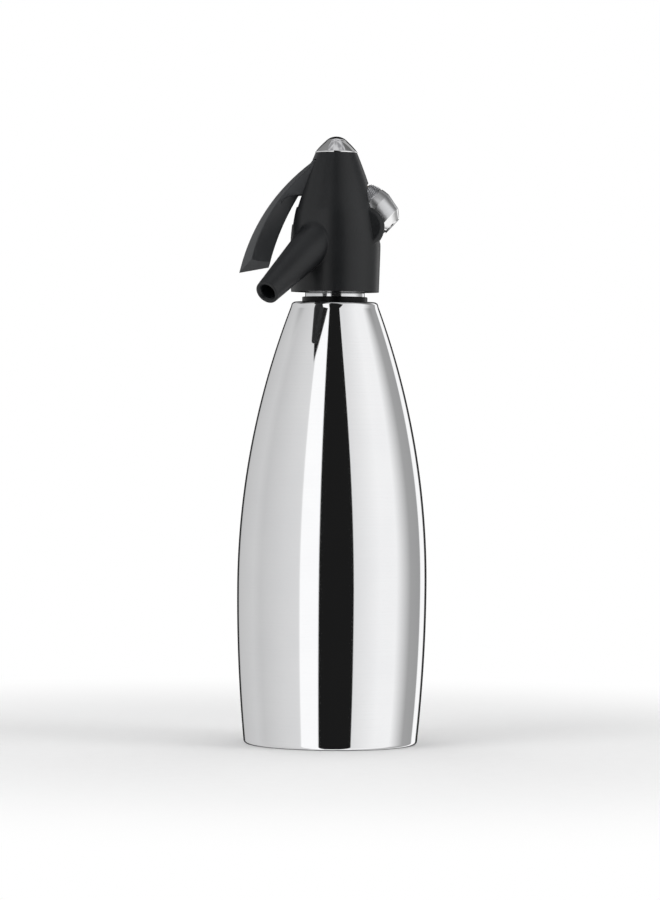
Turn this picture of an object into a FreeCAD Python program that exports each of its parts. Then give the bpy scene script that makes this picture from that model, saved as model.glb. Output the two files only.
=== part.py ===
"""Soda siphon: a steel bottle, a black lever head and a capped charging inlet.

Millimetres. +Z is up and the origin is the centre of the bottle's base on the table. The lever
points to -X, the charging inlet to +X and down, and the spout to the left and front.
"""

import FreeCAD, Part
import math
import os

import Sketcher
from FreeCAD import Rotation, Vector

# Driving sizes, in millimetres and degrees
SIZES = {
    # bottle
    "belly_radius": 49.35,
    "belly_height": 82.0,
    "foot_inset": 4.05,
    "foot_corner": 2.0,
    "shoulder_radius": 22.7,
    "shoulder_height": 227.9,
    "shoulder_corner": 2.2,
    "bottle_wall": 0.8,
    "base_plate_inset": 4.3,
    "base_plate_thickness": 1.2,
    # neck
    "neck_bore": 12.0,
    "neck_band_radius": 15.5,
    "neck_band_height": 4.9,
    "neck_thread_radius": 14.0,
    "neck_thread_length": 14.5,
    "neck_flange_radius": 17.5,
    "neck_flange_thickness": 1.2,
    "neck_ring_radius": 17.0,
    "neck_ring_height": 2.6,
    # clearances
    "seat_gap": 0.1,
    "fit_gap": 0.05,
    "thread_gap": 0.3,
    "head_gap": 0.3,
    # head cover
    "head_foot_radius": 22.9,
    "head_waist_radius": 23.5,
    "head_waist_height": 22.0,
    "head_cone_radius": 21.4,
    "head_cone_height": 42.1,
    "head_cone_bow": 256.0,
    "head_rim_radius": 10.9,
    "head_height": 72.3,
    "head_wall": 2.3,
    "head_lid": 1.6,
    "rim_hole_radius": 8.7,
    # dome
    "dome_height": 8.6,
    "dome_brow_radius": 5.9,
    "dome_brow_height": 5.9,
    "dome_side_curve": 37.0,
    "dome_wall": 1.0,
    "dome_skirt": 3.0,
    # threaded insert and the ring below it
    "insert_radius": 17.5,
    "ring_height": 2.0,
    # valve body
    "gasket_thickness": 2.0,
    "gasket_bore": 10.6,
    "valve_flange_thickness": 2.5,
    "spigot_radius": 9.5,
    "spigot_wall": 2.0,
    "spigot_length": 7.1,
    "chamber_radius": 6.0,
    "chamber_height": 6.4,
    "chamber_sink": 0.5,
    "seat_radius": 3.4,
    "seat_bore_length": 16.5,
    "tower_radius": 8.0,
    "tower_height": 15.9,
    "guide_tower_radius": 4.8,
    "guide_tower_height": 13.0,
    "ring_groove_radius": 3.2,
    "ring_groove_height": 2.0,
    "ring_groove_lift": 2.5,
    # spindle and spring
    "spindle_radius": 1.8,
    "spindle_foot_radius": 3.6,
    "spindle_foot_height": 1.2,
    "spindle_button_radius": 4.6,
    "spindle_button_height": 2.0,
    "seal_radius": 5.2,
    "seal_height": 2.4,
    "spring_wire": 0.8,
    "spring_radius": 3.5,
    "spring_length": 7.4,
    "spring_turns": 5.0,
    # riser
    "riser_radius": 4.0,
    "riser_wall": 1.0,
    "riser_foot_gap": 6.0,
    "riser_flange_height": 1.5,
    "riser_gasket_height": 1.0,
    # spout
    "spout_azimuth": 236.0,
    "spout_slope": 32.5,
    "spout_crossing_drop": 34.9,
    "spout_reach": 73.4,
    "spout_bore": 4.0,
    "outlet_bore": 3.4,
    "spout_tip_radius": 6.3,
    "spout_root_radius": 9.8,
    "spout_taper_length": 44.0,
    "spout_tip_round": 0.8,
    "spout_tenon_radius": 6.0,
    "spout_tenon_length": 13.9,
    "outlet_boss_reach": 14.0,
    "spout_gasket_thickness": 1.5,
    # lever
    "pivot_reach": 8.0,
    "pivot_drop": 10.6,
    "pin_radius": 1.5,
    "pin_length": 18.0,
    "pin_gap": 0.06,
    "hub_radius": 3.2,
    "arm_width": 7.4,
    "arm_gap": 0.7,
    "arm_top_inset": 4.5,
    "arm_top_drop": 5.0,
    "arm_low_inset": 2.4,
    "arm_low_drop": 1.5,
    "arm_step_reach": 2.0,
    "arm_step_rise": 1.6,
    "nose_half": 0.8,
    "boss_radius": 2.9,
    "boss_half_length": 12.2,
    "lever_top_x": -12.5,
    "lever_top_drop": 4.6,
    "lever_tip_x": -49.6,
    "lever_tip_drop": 60.7,
    "lever_back_bow": 5.9,
    "lever_edge_depth": 2.8,
    "lever_edge_width": 13.0,
    "lever_inner_width": 6.4,
    "lever_inner_top_x": -17.6,
    "lever_inner_top_drop": 19.4,
    "lever_inner_low_x": -34.6,
    "lever_inner_low_drop": 60.0,
    "lever_inner_bow": 1.9,
    "lever_pad_gap": 0.2,
    "slot_margin": 0.5,
    "slot_inner_reach": 7.2,
    "slot_top_drop": 3.6,
    "slot_floor_drop": 28.5,
    "relief_margin": 1.6,
    "relief_floor_drop": 37.5,
    # charging inlet, measured along its axis from the nipple's root
    "inlet_angle": 133.0,
    "inlet_x": 9.87,
    "inlet_drop": 19.35,
    "nipple_root_radius": 4.1,
    "nipple_root_length": 2.6,
    "nipple_radius": 6.4,
    "nipple_length": 18.0,
    "nipple_bore": 4.8,
    "nipple_floor": 5.6,
    "pin_hole_radius": 1.2,
    "piercer_height": 4.5,
    "piercer_point": 1.4,
    "piercer_bore": 0.4,
    "piercer_tip_radius": 0.6,
    "charger_seal_bore": 1.7,
    "charger_seal_height": 1.6,
    "filter_height": 1.0,
    "sleeve_bore": 0.6,
    "sleeve_radius": 2.6,
    "sleeve_height": 1.5,
    "pocket_start": 2.6,
    "pocket_floor_radius": 8.4,
    "pocket_radius": 11.1,
    "pocket_flare": 7.0,
    "pocket_reach": 34.0,
    "pod_x": 14.8,
    "pod_drop": 38.6,
    "pod_radius": 10.6,
    "pod_width": 27.0,
    "pod_round": 3.0,
    "gas_tube_radius": 1.5,
    "gas_tube_wall": 0.5,
    "gas_tube_x": 6.37,
    "gas_tube_y": 9.5,
    "gas_start_shift": 0.7,
    "gas_knee_drop": 1.5,
    "gas_bend": 2.7,
    # inlet cap
    "cap_start": 3.4,
    "cap_mouth_radius": 7.4,
    "cap_bevel_radius": 8.775,
    "cap_bevel": 5.2,
    "cap_seam_radius": 9.9,
    "cap_seam": 9.4,
    "cap_lip_radius": 10.1,
    "cap_widest_radius": 10.6,
    "cap_widest": 14.3,
    "cap_shoulder_radius": 8.7,
    "cap_shoulder": 22.8,
    "cap_end_radius": 5.1,
    "cap_end": 27.0,
    "cap_body_curve": 36.0,
    "cap_bore_gap": 0.4,
    "cap_groove_depth": 0.5,
    "cap_seal_height": 1.5,
    "cap_seal_wall": 1.4,
}

doc = FreeCAD.newDocument("SodaSiphon")
sheet = doc.addObject("Spreadsheet::Sheet", "Sizes")
for row, (alias, number) in enumerate(SIZES.items(), start=1):
    sheet.set(f"A{row}", alias)
    sheet.set(f"B{row}", str(number))
    sheet.setAlias(f"B{row}", alias)
doc.recompute()


class Size:
    """A number together with the expression that ties it to the sheet."""

    def __init__(self, value, text):
        self.value = float(value)
        self.text = text

    def __add__(self, other):
        other = as_size(other)
        return Size(self.value + other.value, f"({self.text} + {other.text})")

    def __sub__(self, other):
        other = as_size(other)
        return Size(self.value - other.value, f"({self.text} - {other.text})")

    def __mul__(self, other):
        other = as_size(other)
        return Size(self.value * other.value, f"({self.text} * {other.text})")

    def __truediv__(self, other):
        other = as_size(other)
        return Size(self.value / other.value, f"({self.text} / {other.text})")

    def __neg__(self):
        return Size(-self.value, f"(0 - {self.text})")

    __radd__ = __add__

    def __rmul__(self, other):
        return as_size(other) * self

    def __rsub__(self, other):
        return as_size(other) - self


def as_size(number):
    """Give a plain number the form of a size."""
    return number if isinstance(number, Size) else Size(number, repr(float(number)))


def root(size):
    """Square root of a size."""
    return Size(math.sqrt(size.value), f"sqrt({size.text})")


def cell(alias):
    """A size read from the sheet."""
    return Size(sheet.get(alias), f"Sizes.{alias}")


def bind(obj, prop, size):
    """Tie one property of an object to its expression."""
    obj.setExpression(prop, size.text)


def place(obj, at, turn=None):
    """Put an object at a point, turned by a rotation."""
    x, y, z = (as_size(part) for part in at)
    obj.Placement = FreeCAD.Placement(Vector(x.value, y.value, z.value), turn or Rotation())
    bind(obj, "Placement.Base.x", x)
    bind(obj, "Placement.Base.y", y)
    bind(obj, "Placement.Base.z", z)
    return obj


def arc_centre(start, end, radius, turn):
    """Centre of the short arc from start to end; turn is 1 anticlockwise, -1 clockwise."""
    chord = end - start
    side = Vector(-chord.y, chord.x, 0).normalize() * turn
    return (start + end) * 0.5 + side * math.sqrt(radius ** 2 - chord.Length ** 2 / 4)


def draw(sketch, corners):
    """Close an outline of lines and arcs whose corners are tied to the sheet.

    Each corner is (x, y) or (x, y, radius, turn), where the last two shape the edge that leaves it.
    """
    ends = []
    for number, corner in enumerate(corners):
        follow = corners[(number + 1) % len(corners)]
        start = Vector(as_size(corner[0]).value, as_size(corner[1]).value, 0)
        end = Vector(as_size(follow[0]).value, as_size(follow[1]).value, 0)
        if len(corner) == 2:
            edge = sketch.addGeometry(Part.LineSegment(start, end), False)
            ends.append((edge, 1, 2))
            continue
        radius, turn = as_size(corner[2]), corner[3]
        centre = arc_centre(start, end, radius.value, turn)
        first, last = (start, end) if turn > 0 else (end, start)
        angles = [math.atan2(point.y - centre.y, point.x - centre.x) for point in (first, last)]
        circle = Part.Circle(centre, Vector(0, 0, 1), radius.value)
        edge = sketch.addGeometry(Part.ArcOfCircle(circle, *angles), False)
        ends.append((edge, 1, 2) if turn > 0 else (edge, 2, 1))
        index = sketch.addConstraint(Sketcher.Constraint("Radius", edge, radius.value))
        sketch.setExpression(f"Constraints[{index}]", radius.text)
    for number, (edge, _, stop) in enumerate(ends):
        follow = ends[(number + 1) % len(ends)]
        sketch.addConstraint(Sketcher.Constraint("Coincident", edge, stop, follow[0], follow[1]))
    for (edge, begin, _), corner in zip(ends, corners):
        for kind, axis, value in (("DistanceX", -2, corner[0]), ("DistanceY", -1, corner[1])):
            size = as_size(value)
            if abs(size.value) < 1e-9:
                sketch.addConstraint(Sketcher.Constraint("PointOnObject", edge, begin, axis))
                continue
            index = sketch.addConstraint(Sketcher.Constraint(kind, -1, 1, edge, begin, size.value))
            sketch.setExpression(f"Constraints[{index}]", size.text)


def new_body(name, plane, corners):
    """A body with one sketch on the named origin plane."""
    body = doc.addObject("PartDesign::Body", name)
    sketch = body.newObject("Sketcher::SketchObject", f"{name}_outline")
    origin_plane = next(item for item in body.Origin.OriginFeatures if item.Role == plane)
    sketch.AttachmentSupport = [(origin_plane, "")]
    sketch.MapMode = "FlatFace"
    draw(sketch, corners)
    return body, sketch


def turned(name, corners):
    """A piece turned about its own Z axis from an outline of (radius, height) corners."""
    body, sketch = new_body(name, "XZ_Plane", corners)
    feature = body.newObject("PartDesign::Revolution", f"{name}_turned")
    feature.Profile = sketch
    feature.ReferenceAxis = (sketch, ["V_Axis"])
    feature.Angle = 360.0
    sketch.Visibility = False
    return body


def plate(name, corners, width):
    """A piece cut from a side outline in XZ, half its width on each side of the middle plane."""
    body, sketch = new_body(name, "XZ_Plane", corners)
    feature = body.newObject("PartDesign::Pad", f"{name}_pad")
    feature.Profile = sketch
    feature.Midplane = True
    feature.Length = width.value
    bind(feature, "Length", width)
    return body


def ring(name, inner, outer, low, high):
    """A plain ring."""
    return turned(name, [(inner, low), (outer, low), (outer, high), (inner, high)])


def rod(name, radius, low, high):
    """A plain round rod standing on its own axis."""
    return turned(name, [(0, low), (radius, low), (radius, high), (0, high)])


def block(name, low, high):
    """A box between two corners."""
    box = doc.addObject("Part::Box", name)
    for prop, start, end in zip(("Length", "Width", "Height"), low, high):
        length = as_size(end) - start
        setattr(box, prop, length.value)
        bind(box, prop, length)
    return place(box, low)


def joined(name, *pieces):
    """Fuse pieces into one."""
    fuse = doc.addObject("Part::MultiFuse", name)
    fuse.Shapes = list(pieces)
    return fuse


def cut(name, base, *tools):
    """Cut tools from a piece, one after another."""
    for number, tool in enumerate(tools):
        last = number == len(tools) - 1
        step = doc.addObject("Part::Cut", name if last else f"{name}_step{number}")
        step.Base, step.Tool = base, tool
        base = step
    return base


def common(name, base, tool):
    """What two pieces share."""
    piece = doc.addObject("Part::Common", name)
    piece.Base, piece.Tool = base, tool
    return piece


# How far a cutting tool runs past what it cuts
overrun = 1.0
NODES = []


def node(piece, label):
    """Name a finished sub-part, which names its file."""
    piece.Label = label
    NODES.append(piece)
    return piece


gap = cell("fit_gap")

# Bottle
wall = cell("bottle_wall")
belly_radius, belly_height = cell("belly_radius"), cell("belly_height")
foot_radius, foot_corner = belly_radius - cell("foot_inset"), cell("foot_corner")
shoulder_radius, shoulder_height = cell("shoulder_radius"), cell("shoulder_height")
shoulder_corner = cell("shoulder_corner")
shoulder_top = shoulder_height + shoulder_corner
plate_radius = foot_radius - cell("base_plate_inset")
band_radius = cell("neck_band_radius")


def barrel_curve(end_radius, rise):
    """Radius of the arc that leaves the belly upright and ends rise away at end_radius."""
    drop = belly_radius - end_radius
    return (rise * rise + drop * drop) / (2 * drop)


upper_curve = barrel_curve(shoulder_radius, shoulder_height - belly_height)
lower_curve = barrel_curve(foot_radius, belly_height - foot_corner)


def inside_wall(curve, rise):
    """Inner radius of the barrel at a height that is rise away from the belly."""
    inner = curve - wall
    return belly_radius - curve + root(inner * inner - rise * rise)


inner_shoulder_height = shoulder_height - wall
inner_shoulder = inside_wall(upper_curve, inner_shoulder_height - belly_height)
inner_foot = inside_wall(lower_curve, belly_height - foot_corner)
node(turned("BottleShell", [
    (plate_radius, 0),
    (foot_radius - foot_corner, 0, foot_corner, 1),
    (foot_radius, foot_corner, lower_curve, 1),
    (belly_radius, belly_height, upper_curve, 1),
    (shoulder_radius, shoulder_height, shoulder_corner, 1),
    (shoulder_radius - shoulder_corner, shoulder_top),
    (band_radius, shoulder_top),
    (band_radius, shoulder_top - wall),
    (shoulder_radius - shoulder_corner, shoulder_top - wall),
    (inner_shoulder, inner_shoulder_height, upper_curve - wall, -1),
    (belly_radius - wall, belly_height, lower_curve - wall, -1),
    (inner_foot, foot_corner),
    (foot_radius - foot_corner, wall),
    (plate_radius, wall),
]), "bottle_shell")
node(rod("BottleBase", plate_radius, 0, cell("base_plate_thickness")), "bottle_base")

# Neck
bore = cell("neck_bore")
thread_radius = cell("neck_thread_radius")
flange_radius = cell("neck_flange_radius")
flange_low = shoulder_top - wall - cell("neck_flange_thickness")
band_top = shoulder_top + cell("neck_band_height")
neck_top = band_top + cell("neck_thread_length")
node(turned("NeckCollar", [
    (bore, flange_low),
    (flange_radius, flange_low),
    (flange_radius, shoulder_top - wall),
    (band_radius, shoulder_top - wall),
    (band_radius, band_top),
    (thread_radius, band_top),
    (thread_radius, neck_top),
    (bore, neck_top),
]), "neck_collar")
ring_top = shoulder_top + cell("neck_ring_height")
node(ring("NeckRing", band_radius, cell("neck_ring_radius"), shoulder_top, ring_top), "neck_ring")

# Head cover, first as the outer form that other pieces are trimmed by
head_base = band_top + cell("head_gap")
head_top = head_base + cell("head_height")
waist_height = head_base + cell("head_waist_height")
cone_height = head_base + cell("head_cone_height")
foot_r, waist_r = cell("head_foot_radius"), cell("head_waist_radius")
cone_r, rim_r = cell("head_cone_radius"), cell("head_rim_radius")
cone_bow = cell("head_cone_bow")
head_wall = cell("head_wall")
lid_under = head_top - cell("head_lid")
rim_hole = cell("rim_hole_radius")
waist_drop = waist_r - cone_r
waist_rise = cone_height - waist_height
waist_curve = (waist_rise * waist_rise + waist_drop * waist_drop) / (2 * waist_drop)
outer_side = [
    (foot_r, head_base),
    (waist_r, waist_height, waist_curve, 1),
    (cone_r, cone_height, cone_bow, 1),
    (rim_r, head_top),
]


def head_form(name):
    """The head's outer form as one solid."""
    return turned(name, [(0, head_base), *outer_side, (0, head_top)])


head_shell = turned("HeadShell", [
    (foot_r - head_wall, head_base),
    *outer_side,
    (rim_hole, head_top),
    (rim_hole, lid_under, cone_bow - head_wall, -1),
    (cone_r - head_wall, cone_height, waist_curve - head_wall, -1),
    (waist_r - head_wall, waist_height),
])

# Spout axis: the local Z axis points out along the spout
spout_turn = Rotation(sheet.get("spout_azimuth"), 90 + sheet.get("spout_slope"), 0)
spout_z = head_top - cell("spout_crossing_drop")
spout_at = (0, 0, spout_z)
boss_reach = cell("outlet_boss_reach")
tenon_radius = cell("spout_tenon_radius")
spout_bore = cell("spout_bore")
outlet_bore = cell("outlet_bore")
spout_reach = cell("spout_reach")
spout_gasket = cell("spout_gasket_thickness")
tenon_start = boss_reach + spout_gasket

# Inlet axis: the local Z axis points out along the inlet
inlet_turn = Rotation(0, sheet.get("inlet_angle"), 0)
inlet_z = head_top - cell("inlet_drop")
inlet_at = (cell("inlet_x"), 0, inlet_z)

pocket_start = cell("pocket_start")
pocket = place(turned("InletPocket", [
    (0, pocket_start),
    (cell("pocket_floor_radius"), pocket_start),
    (cell("pocket_radius"), pocket_start + cell("pocket_flare")),
    (cell("pocket_radius"), cell("pocket_reach")),
    (0, cell("pocket_reach")),
]), inlet_at, inlet_turn)

pod_round = cell("pod_round")
pod_radius = cell("pod_radius")
pod_half = cell("pod_width") / 2
pod = place(turned("InletPod", [
    (0, -pod_half),
    (pod_radius - pod_round, -pod_half, pod_round, 1),
    (pod_radius, -pod_half + pod_round),
    (pod_radius, pod_half - pod_round, pod_round, 1),
    (pod_radius - pod_round, pod_half),
    (0, pod_half),
]), (cell("pod_x"), 0, head_top - cell("pod_drop")), Rotation(Vector(1, 0, 0), -90))
head_room = turned("HeadRoom", [
    (0, head_base - overrun),
    (foot_r - head_wall, head_base - overrun),
    (foot_r - head_wall, head_base),
    (waist_r - head_wall, waist_height, waist_curve - head_wall, 1),
    (cone_r - head_wall, cone_height, cone_bow - head_wall, 1),
    (rim_hole, lid_under),
    (0, lid_under),
])
pod_skin = cut("PodSkin", pod, head_room)

# Lever pivot
pivot_x = cell("pivot_reach")
pivot_z = head_top - cell("pivot_drop")
pin_radius = cell("pin_radius")
pin_gap = cell("pin_gap")
pin_half = cell("pin_length") / 2
arm_width = cell("arm_width")
across = Rotation(Vector(1, 0, 0), -90)
boss_r, boss_half = cell("boss_radius"), cell("boss_half_length")
boss_bar = place(rod("PinBossBar", boss_r, -boss_half, boss_half), (pivot_x, 0, pivot_z), across)
arm_room = arm_width / 2 + cell("arm_gap")
boss_gap = block("PinBossGap", (pivot_x - boss_r * 2, -arm_room, pivot_z - boss_r * 2),
                 (pivot_x + boss_r * 2, arm_room, pivot_z + boss_r * 2))
bosses_long = cut("PinBossPair", boss_bar, boss_gap)
bosses = common("PinBosses", bosses_long, head_form("BossLimit"))
pin_hole = place(rod("PinHole", pin_radius + gap, -pin_half, pin_half), (pivot_x, 0, pivot_z), across)

margin = cell("slot_margin")
slot_half = cell("lever_edge_width") / 2 + margin
relief_half = cell("lever_inner_width") / 2 + cell("relief_margin")
slot_floor = head_top - cell("slot_floor_drop")
slot = block("LeverSlot", (-waist_r, -slot_half, slot_floor),
             (-cell("slot_inner_reach"), slot_half, head_top - cell("slot_top_drop")))
relief = block("LeverRelief", (-waist_r, -relief_half, head_top - cell("relief_floor_drop")),
               (-rim_hole, relief_half, slot_floor + overrun))
spout_port = place(rod("SpoutPort", tenon_radius + gap, tenon_start, spout_reach / 2),
                   spout_at, spout_turn)
inlet_hole = place(rod("InletHole", cell("nipple_root_radius") + gap, -overrun,
                       pocket_start + overrun), inlet_at, inlet_turn)
housing_form = joined("HousingForm", head_shell, pod_skin, bosses)
node(cut("HeadHousing", housing_form, pocket, slot, relief, pin_hole, spout_port, inlet_hole),
     "head_housing")

# Dome
brow_r, brow_h = cell("dome_brow_radius"), cell("dome_brow_height")
crown_drop = cell("dome_height") - brow_h
crown_curve = (brow_r * brow_r + crown_drop * crown_drop) / (2 * crown_drop)
dome_wall = cell("dome_wall")
skirt_r = rim_hole - gap
node(turned("DomeCap", [
    (0, head_top + cell("dome_height") - dome_wall),
    (brow_r - dome_wall / 2, head_top + brow_h - dome_wall),
    (skirt_r - dome_wall, head_top + dome_wall),
    (skirt_r - dome_wall, head_top - cell("dome_skirt")),
    (skirt_r, head_top - cell("dome_skirt")),
    (skirt_r, head_top),
    (rim_r, head_top, cell("dome_side_curve"), 1),
    (brow_r, head_top + brow_h, crown_curve, 1),
    (0, head_top + cell("dome_height")),
]), "dome_cap")

# Threaded insert, the ring round its foot and the gasket on the neck
insert_r = cell("insert_radius")
thread_bore = thread_radius + cell("thread_gap")
gasket_low = neck_top + cell("seat_gap")
valve_base = gasket_low + cell("gasket_thickness")
foot_ring_top = head_base + cell("ring_height")
node(ring("ThreadedInsert", thread_bore, insert_r, head_base, valve_base), "threaded_insert")
node(ring("HousingRing", insert_r + gap, foot_r - head_wall - gap, head_base, foot_ring_top),
     "housing_ring")
node(ring("HeadGasket", cell("gasket_bore"), thread_radius, gasket_low,
          valve_base - cell("seat_gap")), "head_gasket")

# Valve body
spigot_r = cell("spigot_radius")
spigot_bore = spigot_r - cell("spigot_wall")
spigot_low = valve_base - cell("spigot_length")
chamber_r = cell("chamber_radius")
chamber_low = valve_base - cell("chamber_sink")
seat_z = chamber_low + cell("chamber_height")
seat_r = cell("seat_radius")
flange_top = valve_base + cell("valve_flange_thickness")
tower_r = cell("tower_radius")
tower_top = flange_top + cell("tower_height")
guide_r = cell("guide_tower_radius")
guide_top = tower_top + cell("guide_tower_height")
spindle_r = cell("spindle_radius")
guide_bore = spindle_r + pin_gap
groove_r = cell("ring_groove_radius")
bore_top = seat_z + cell("seat_bore_length")
groove_low = bore_top + cell("ring_groove_lift")
groove_high = groove_low + cell("ring_groove_height")
valve_turned = turned("ValveTurned", [
    (spigot_bore, spigot_low),
    (spigot_r, spigot_low),
    (spigot_r, valve_base),
    (insert_r, valve_base),
    (insert_r, flange_top),
    (tower_r, flange_top),
    (tower_r, tower_top),
    (guide_r, tower_top),
    (guide_r, guide_top),
    (guide_bore, guide_top),
    (guide_bore, groove_high),
    (groove_r, groove_high),
    (groove_r, groove_low),
    (guide_bore, groove_low),
    (guide_bore, bore_top),
    (seat_r, bore_top),
    (seat_r, seat_z),
    (chamber_r, seat_z),
    (chamber_r, chamber_low),
    (spigot_bore, chamber_low),
])
outlet_boss = place(ring("OutletBoss", outlet_bore, tenon_radius, seat_r + overrun, boss_reach),
                    spout_at, spout_turn)
outlet_way = place(rod("OutletWay", outlet_bore, 0, boss_reach + overrun), spout_at, spout_turn)
spindle_room = rod("SpindleRoom", guide_bore, bore_top - overrun, guide_top + overrun)
seat_room = rod("SeatRoom", seat_r, seat_z - overrun, bore_top)
gas_hole_radius = cell("gas_tube_radius")
gas_x, gas_y = cell("gas_tube_x"), cell("gas_tube_y")
gas_hole = place(rod("GasHole", gas_hole_radius - cell("gas_tube_wall"),
                     valve_base - overrun, flange_top + overrun), (gas_x, gas_y, 0))
node(cut("ValveBody", joined("ValveForm", valve_turned, outlet_boss), outlet_way, spindle_room,
         seat_room, gas_hole), "valve_body")
node(ring("SpindleRing", spindle_r + pin_gap / 2, groove_r - gap, groove_low + gap,
          groove_high - gap), "spindle_o_ring")

# Spindle, its seal and its spring
spindle_foot_r = cell("spindle_foot_radius")
seal_high = seat_z - cell("seat_gap")
seal_low = seal_high - cell("seal_height")
foot_low = seal_low - cell("spindle_foot_height")
spring_low = guide_top + cell("seat_gap")
button_low = spring_low + cell("spring_length") + cell("seat_gap")
button_high = button_low + cell("spindle_button_height")
button_r = cell("spindle_button_radius")
node(turned("ValveSpindle", [
    (0, foot_low),
    (spindle_foot_r, foot_low),
    (spindle_foot_r, seal_low),
    (spindle_r, seal_low),
    (spindle_r, button_low),
    (button_r, button_low),
    (button_r, button_high),
    (0, button_high),
]), "valve_spindle")
node(ring("ValveSeal", spindle_r, cell("seal_radius"), seal_low, seal_high), "valve_seal")


def coil(label, radius, wire, low, length, turns):
    """A wire coil standing on Z, its line made of quarter turns."""
    rise = length - wire
    steps = int(round(turns * 4))
    points = []
    for number in range(steps * 2 + 1):
        angle = number * math.pi / 4
        level = low + wire / 2 + rise * number / (steps * 2)
        points.append(Vector(radius * math.cos(angle), radius * math.sin(angle), level))
    edges = [Part.Arc(*points[start:start + 3]).toShape() for start in range(0, steps * 2, 2)]
    section = Part.Wire(Part.makeCircle(wire / 2, points[0], edges[0].tangentAt(edges[0].FirstParameter)))
    feature = doc.addObject("Part::Feature", label)
    feature.Shape = Part.Wire(edges).makePipeShell([section], True, False)
    return feature


node(coil("ValveSpring", cell("spring_radius").value, cell("spring_wire").value, spring_low.value,
          cell("spring_length").value, cell("spring_turns").value), "valve_spring")

# Riser with its gasket and nut
riser_r = cell("riser_radius")
riser_bore = riser_r - cell("riser_wall")
riser_top = chamber_low - cell("riser_gasket_height")
riser_flange_low = riser_top - cell("riser_flange_height")
riser_low = cell("base_plate_thickness") + cell("riser_foot_gap")
node(turned("RiserTube", [
    (riser_bore, riser_low),
    (riser_r, riser_low),
    (riser_r, riser_flange_low),
    (spigot_bore - gap, riser_flange_low),
    (spigot_bore - gap, riser_top),
    (riser_bore, riser_top),
]), "riser_tube")
node(ring("RiserGasket", riser_bore, spigot_bore - gap, riser_top, chamber_low), "riser_gasket")
node(ring("RiserNut", riser_r + gap, spigot_bore - gap, spigot_low, riser_flange_low), "riser_nut")

# Spout
root_r, tip_r = cell("spout_root_radius"), cell("spout_tip_radius")
taper_start = spout_reach - cell("spout_taper_length")
tip_round = cell("spout_tip_round")
spout_cone = place(turned("SpoutCone", [
    (spout_bore, tenon_start),
    (root_r, tenon_start),
    (root_r, taper_start),
    (tip_r, spout_reach - tip_round, tip_round, 1),
    (tip_r - tip_round, spout_reach),
    (spout_bore, spout_reach),
]), spout_at, spout_turn)
tenon = place(ring("SpoutTenon", spout_bore, tenon_radius, tenon_start,
                   tenon_start + cell("spout_tenon_length")), spout_at, spout_turn)
node(joined("Spout", cut("SpoutOutside", spout_cone, head_form("SpoutLimit")), tenon), "spout")
node(place(ring("SpoutGasket", outlet_bore, tenon_radius, boss_reach, tenon_start),
           spout_at, spout_turn), "spout_gasket")

# Lever
node(place(rod("LeverPin", pin_radius, -pin_half, pin_half), (pivot_x, 0, pivot_z), across),
     "lever_pin")


def bowed(start, end, bow, share):
    """A point a share of the way along an arc from start to end that bows out to the left."""
    chord = end - start
    side = Vector(chord.z, 0, -chord.x).normalize()
    return start + chord * share + side * (4 * bow * share * (1 - share))


def lever_grip():
    """The lever outside the head: five-sided sections with a ridge along the back."""
    def at(spot):
        return Vector(sheet.get(f"{spot}_x"), 0, head_top.value - sheet.get(f"{spot}_drop"))

    ends = at("lever_top"), at("lever_tip")
    inner = at("lever_inner_top"), at("lever_inner_low")
    edge_half = Vector(0, sheet.get("lever_edge_width") / 2, 0)
    inner_half = Vector(0, sheet.get("lever_inner_width") / 2, 0)
    wires = []
    for number in range(6):
        share = number / 5
        back = bowed(*ends, sheet.get("lever_back_bow"), share)
        front = bowed(*inner, sheet.get("lever_inner_bow"), share)
        depth = (front - back).normalize() * sheet.get("lever_edge_depth")
        edge = back + depth
        corners = [back, edge + edge_half, front + inner_half, front - inner_half, edge - edge_half]
        wires.append(Part.makePolygon([*corners, back]))
    feature = doc.addObject("Part::Feature", "LeverGrip")
    feature.Shape = Part.makeLoft(wires, True, False)
    return feature


hub_r = cell("hub_radius")
pad_z = button_high + cell("lever_pad_gap")
top_x, top_z = cell("lever_top_x"), head_top - cell("lever_top_drop")
inner_x, inner_z = cell("lever_inner_top_x"), head_top - cell("lever_inner_top_drop")
nose_half = cell("nose_half")
lever_arm = plate("LeverArm", [
    (top_x - cell("arm_top_inset"), top_z - cell("arm_top_drop")),
    (inner_x - cell("arm_low_inset"), inner_z - cell("arm_low_drop")),
    (-button_r - cell("arm_step_reach"), pad_z + cell("arm_step_rise")),
    (-nose_half, pad_z),
    (nose_half, pad_z),
    (pivot_x, pivot_z - hub_r, hub_r, 1),
    (pivot_x + hub_r, pivot_z, hub_r, 1),
    (pivot_x, pivot_z + hub_r),
], arm_width)
lever_bore = place(rod("LeverBore", pin_radius + pin_gap, -pin_half, pin_half),
                   (pivot_x, 0, pivot_z), across)
node(cut("Lever", joined("LeverForm", lever_grip(), lever_arm), lever_bore), "lever")

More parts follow.
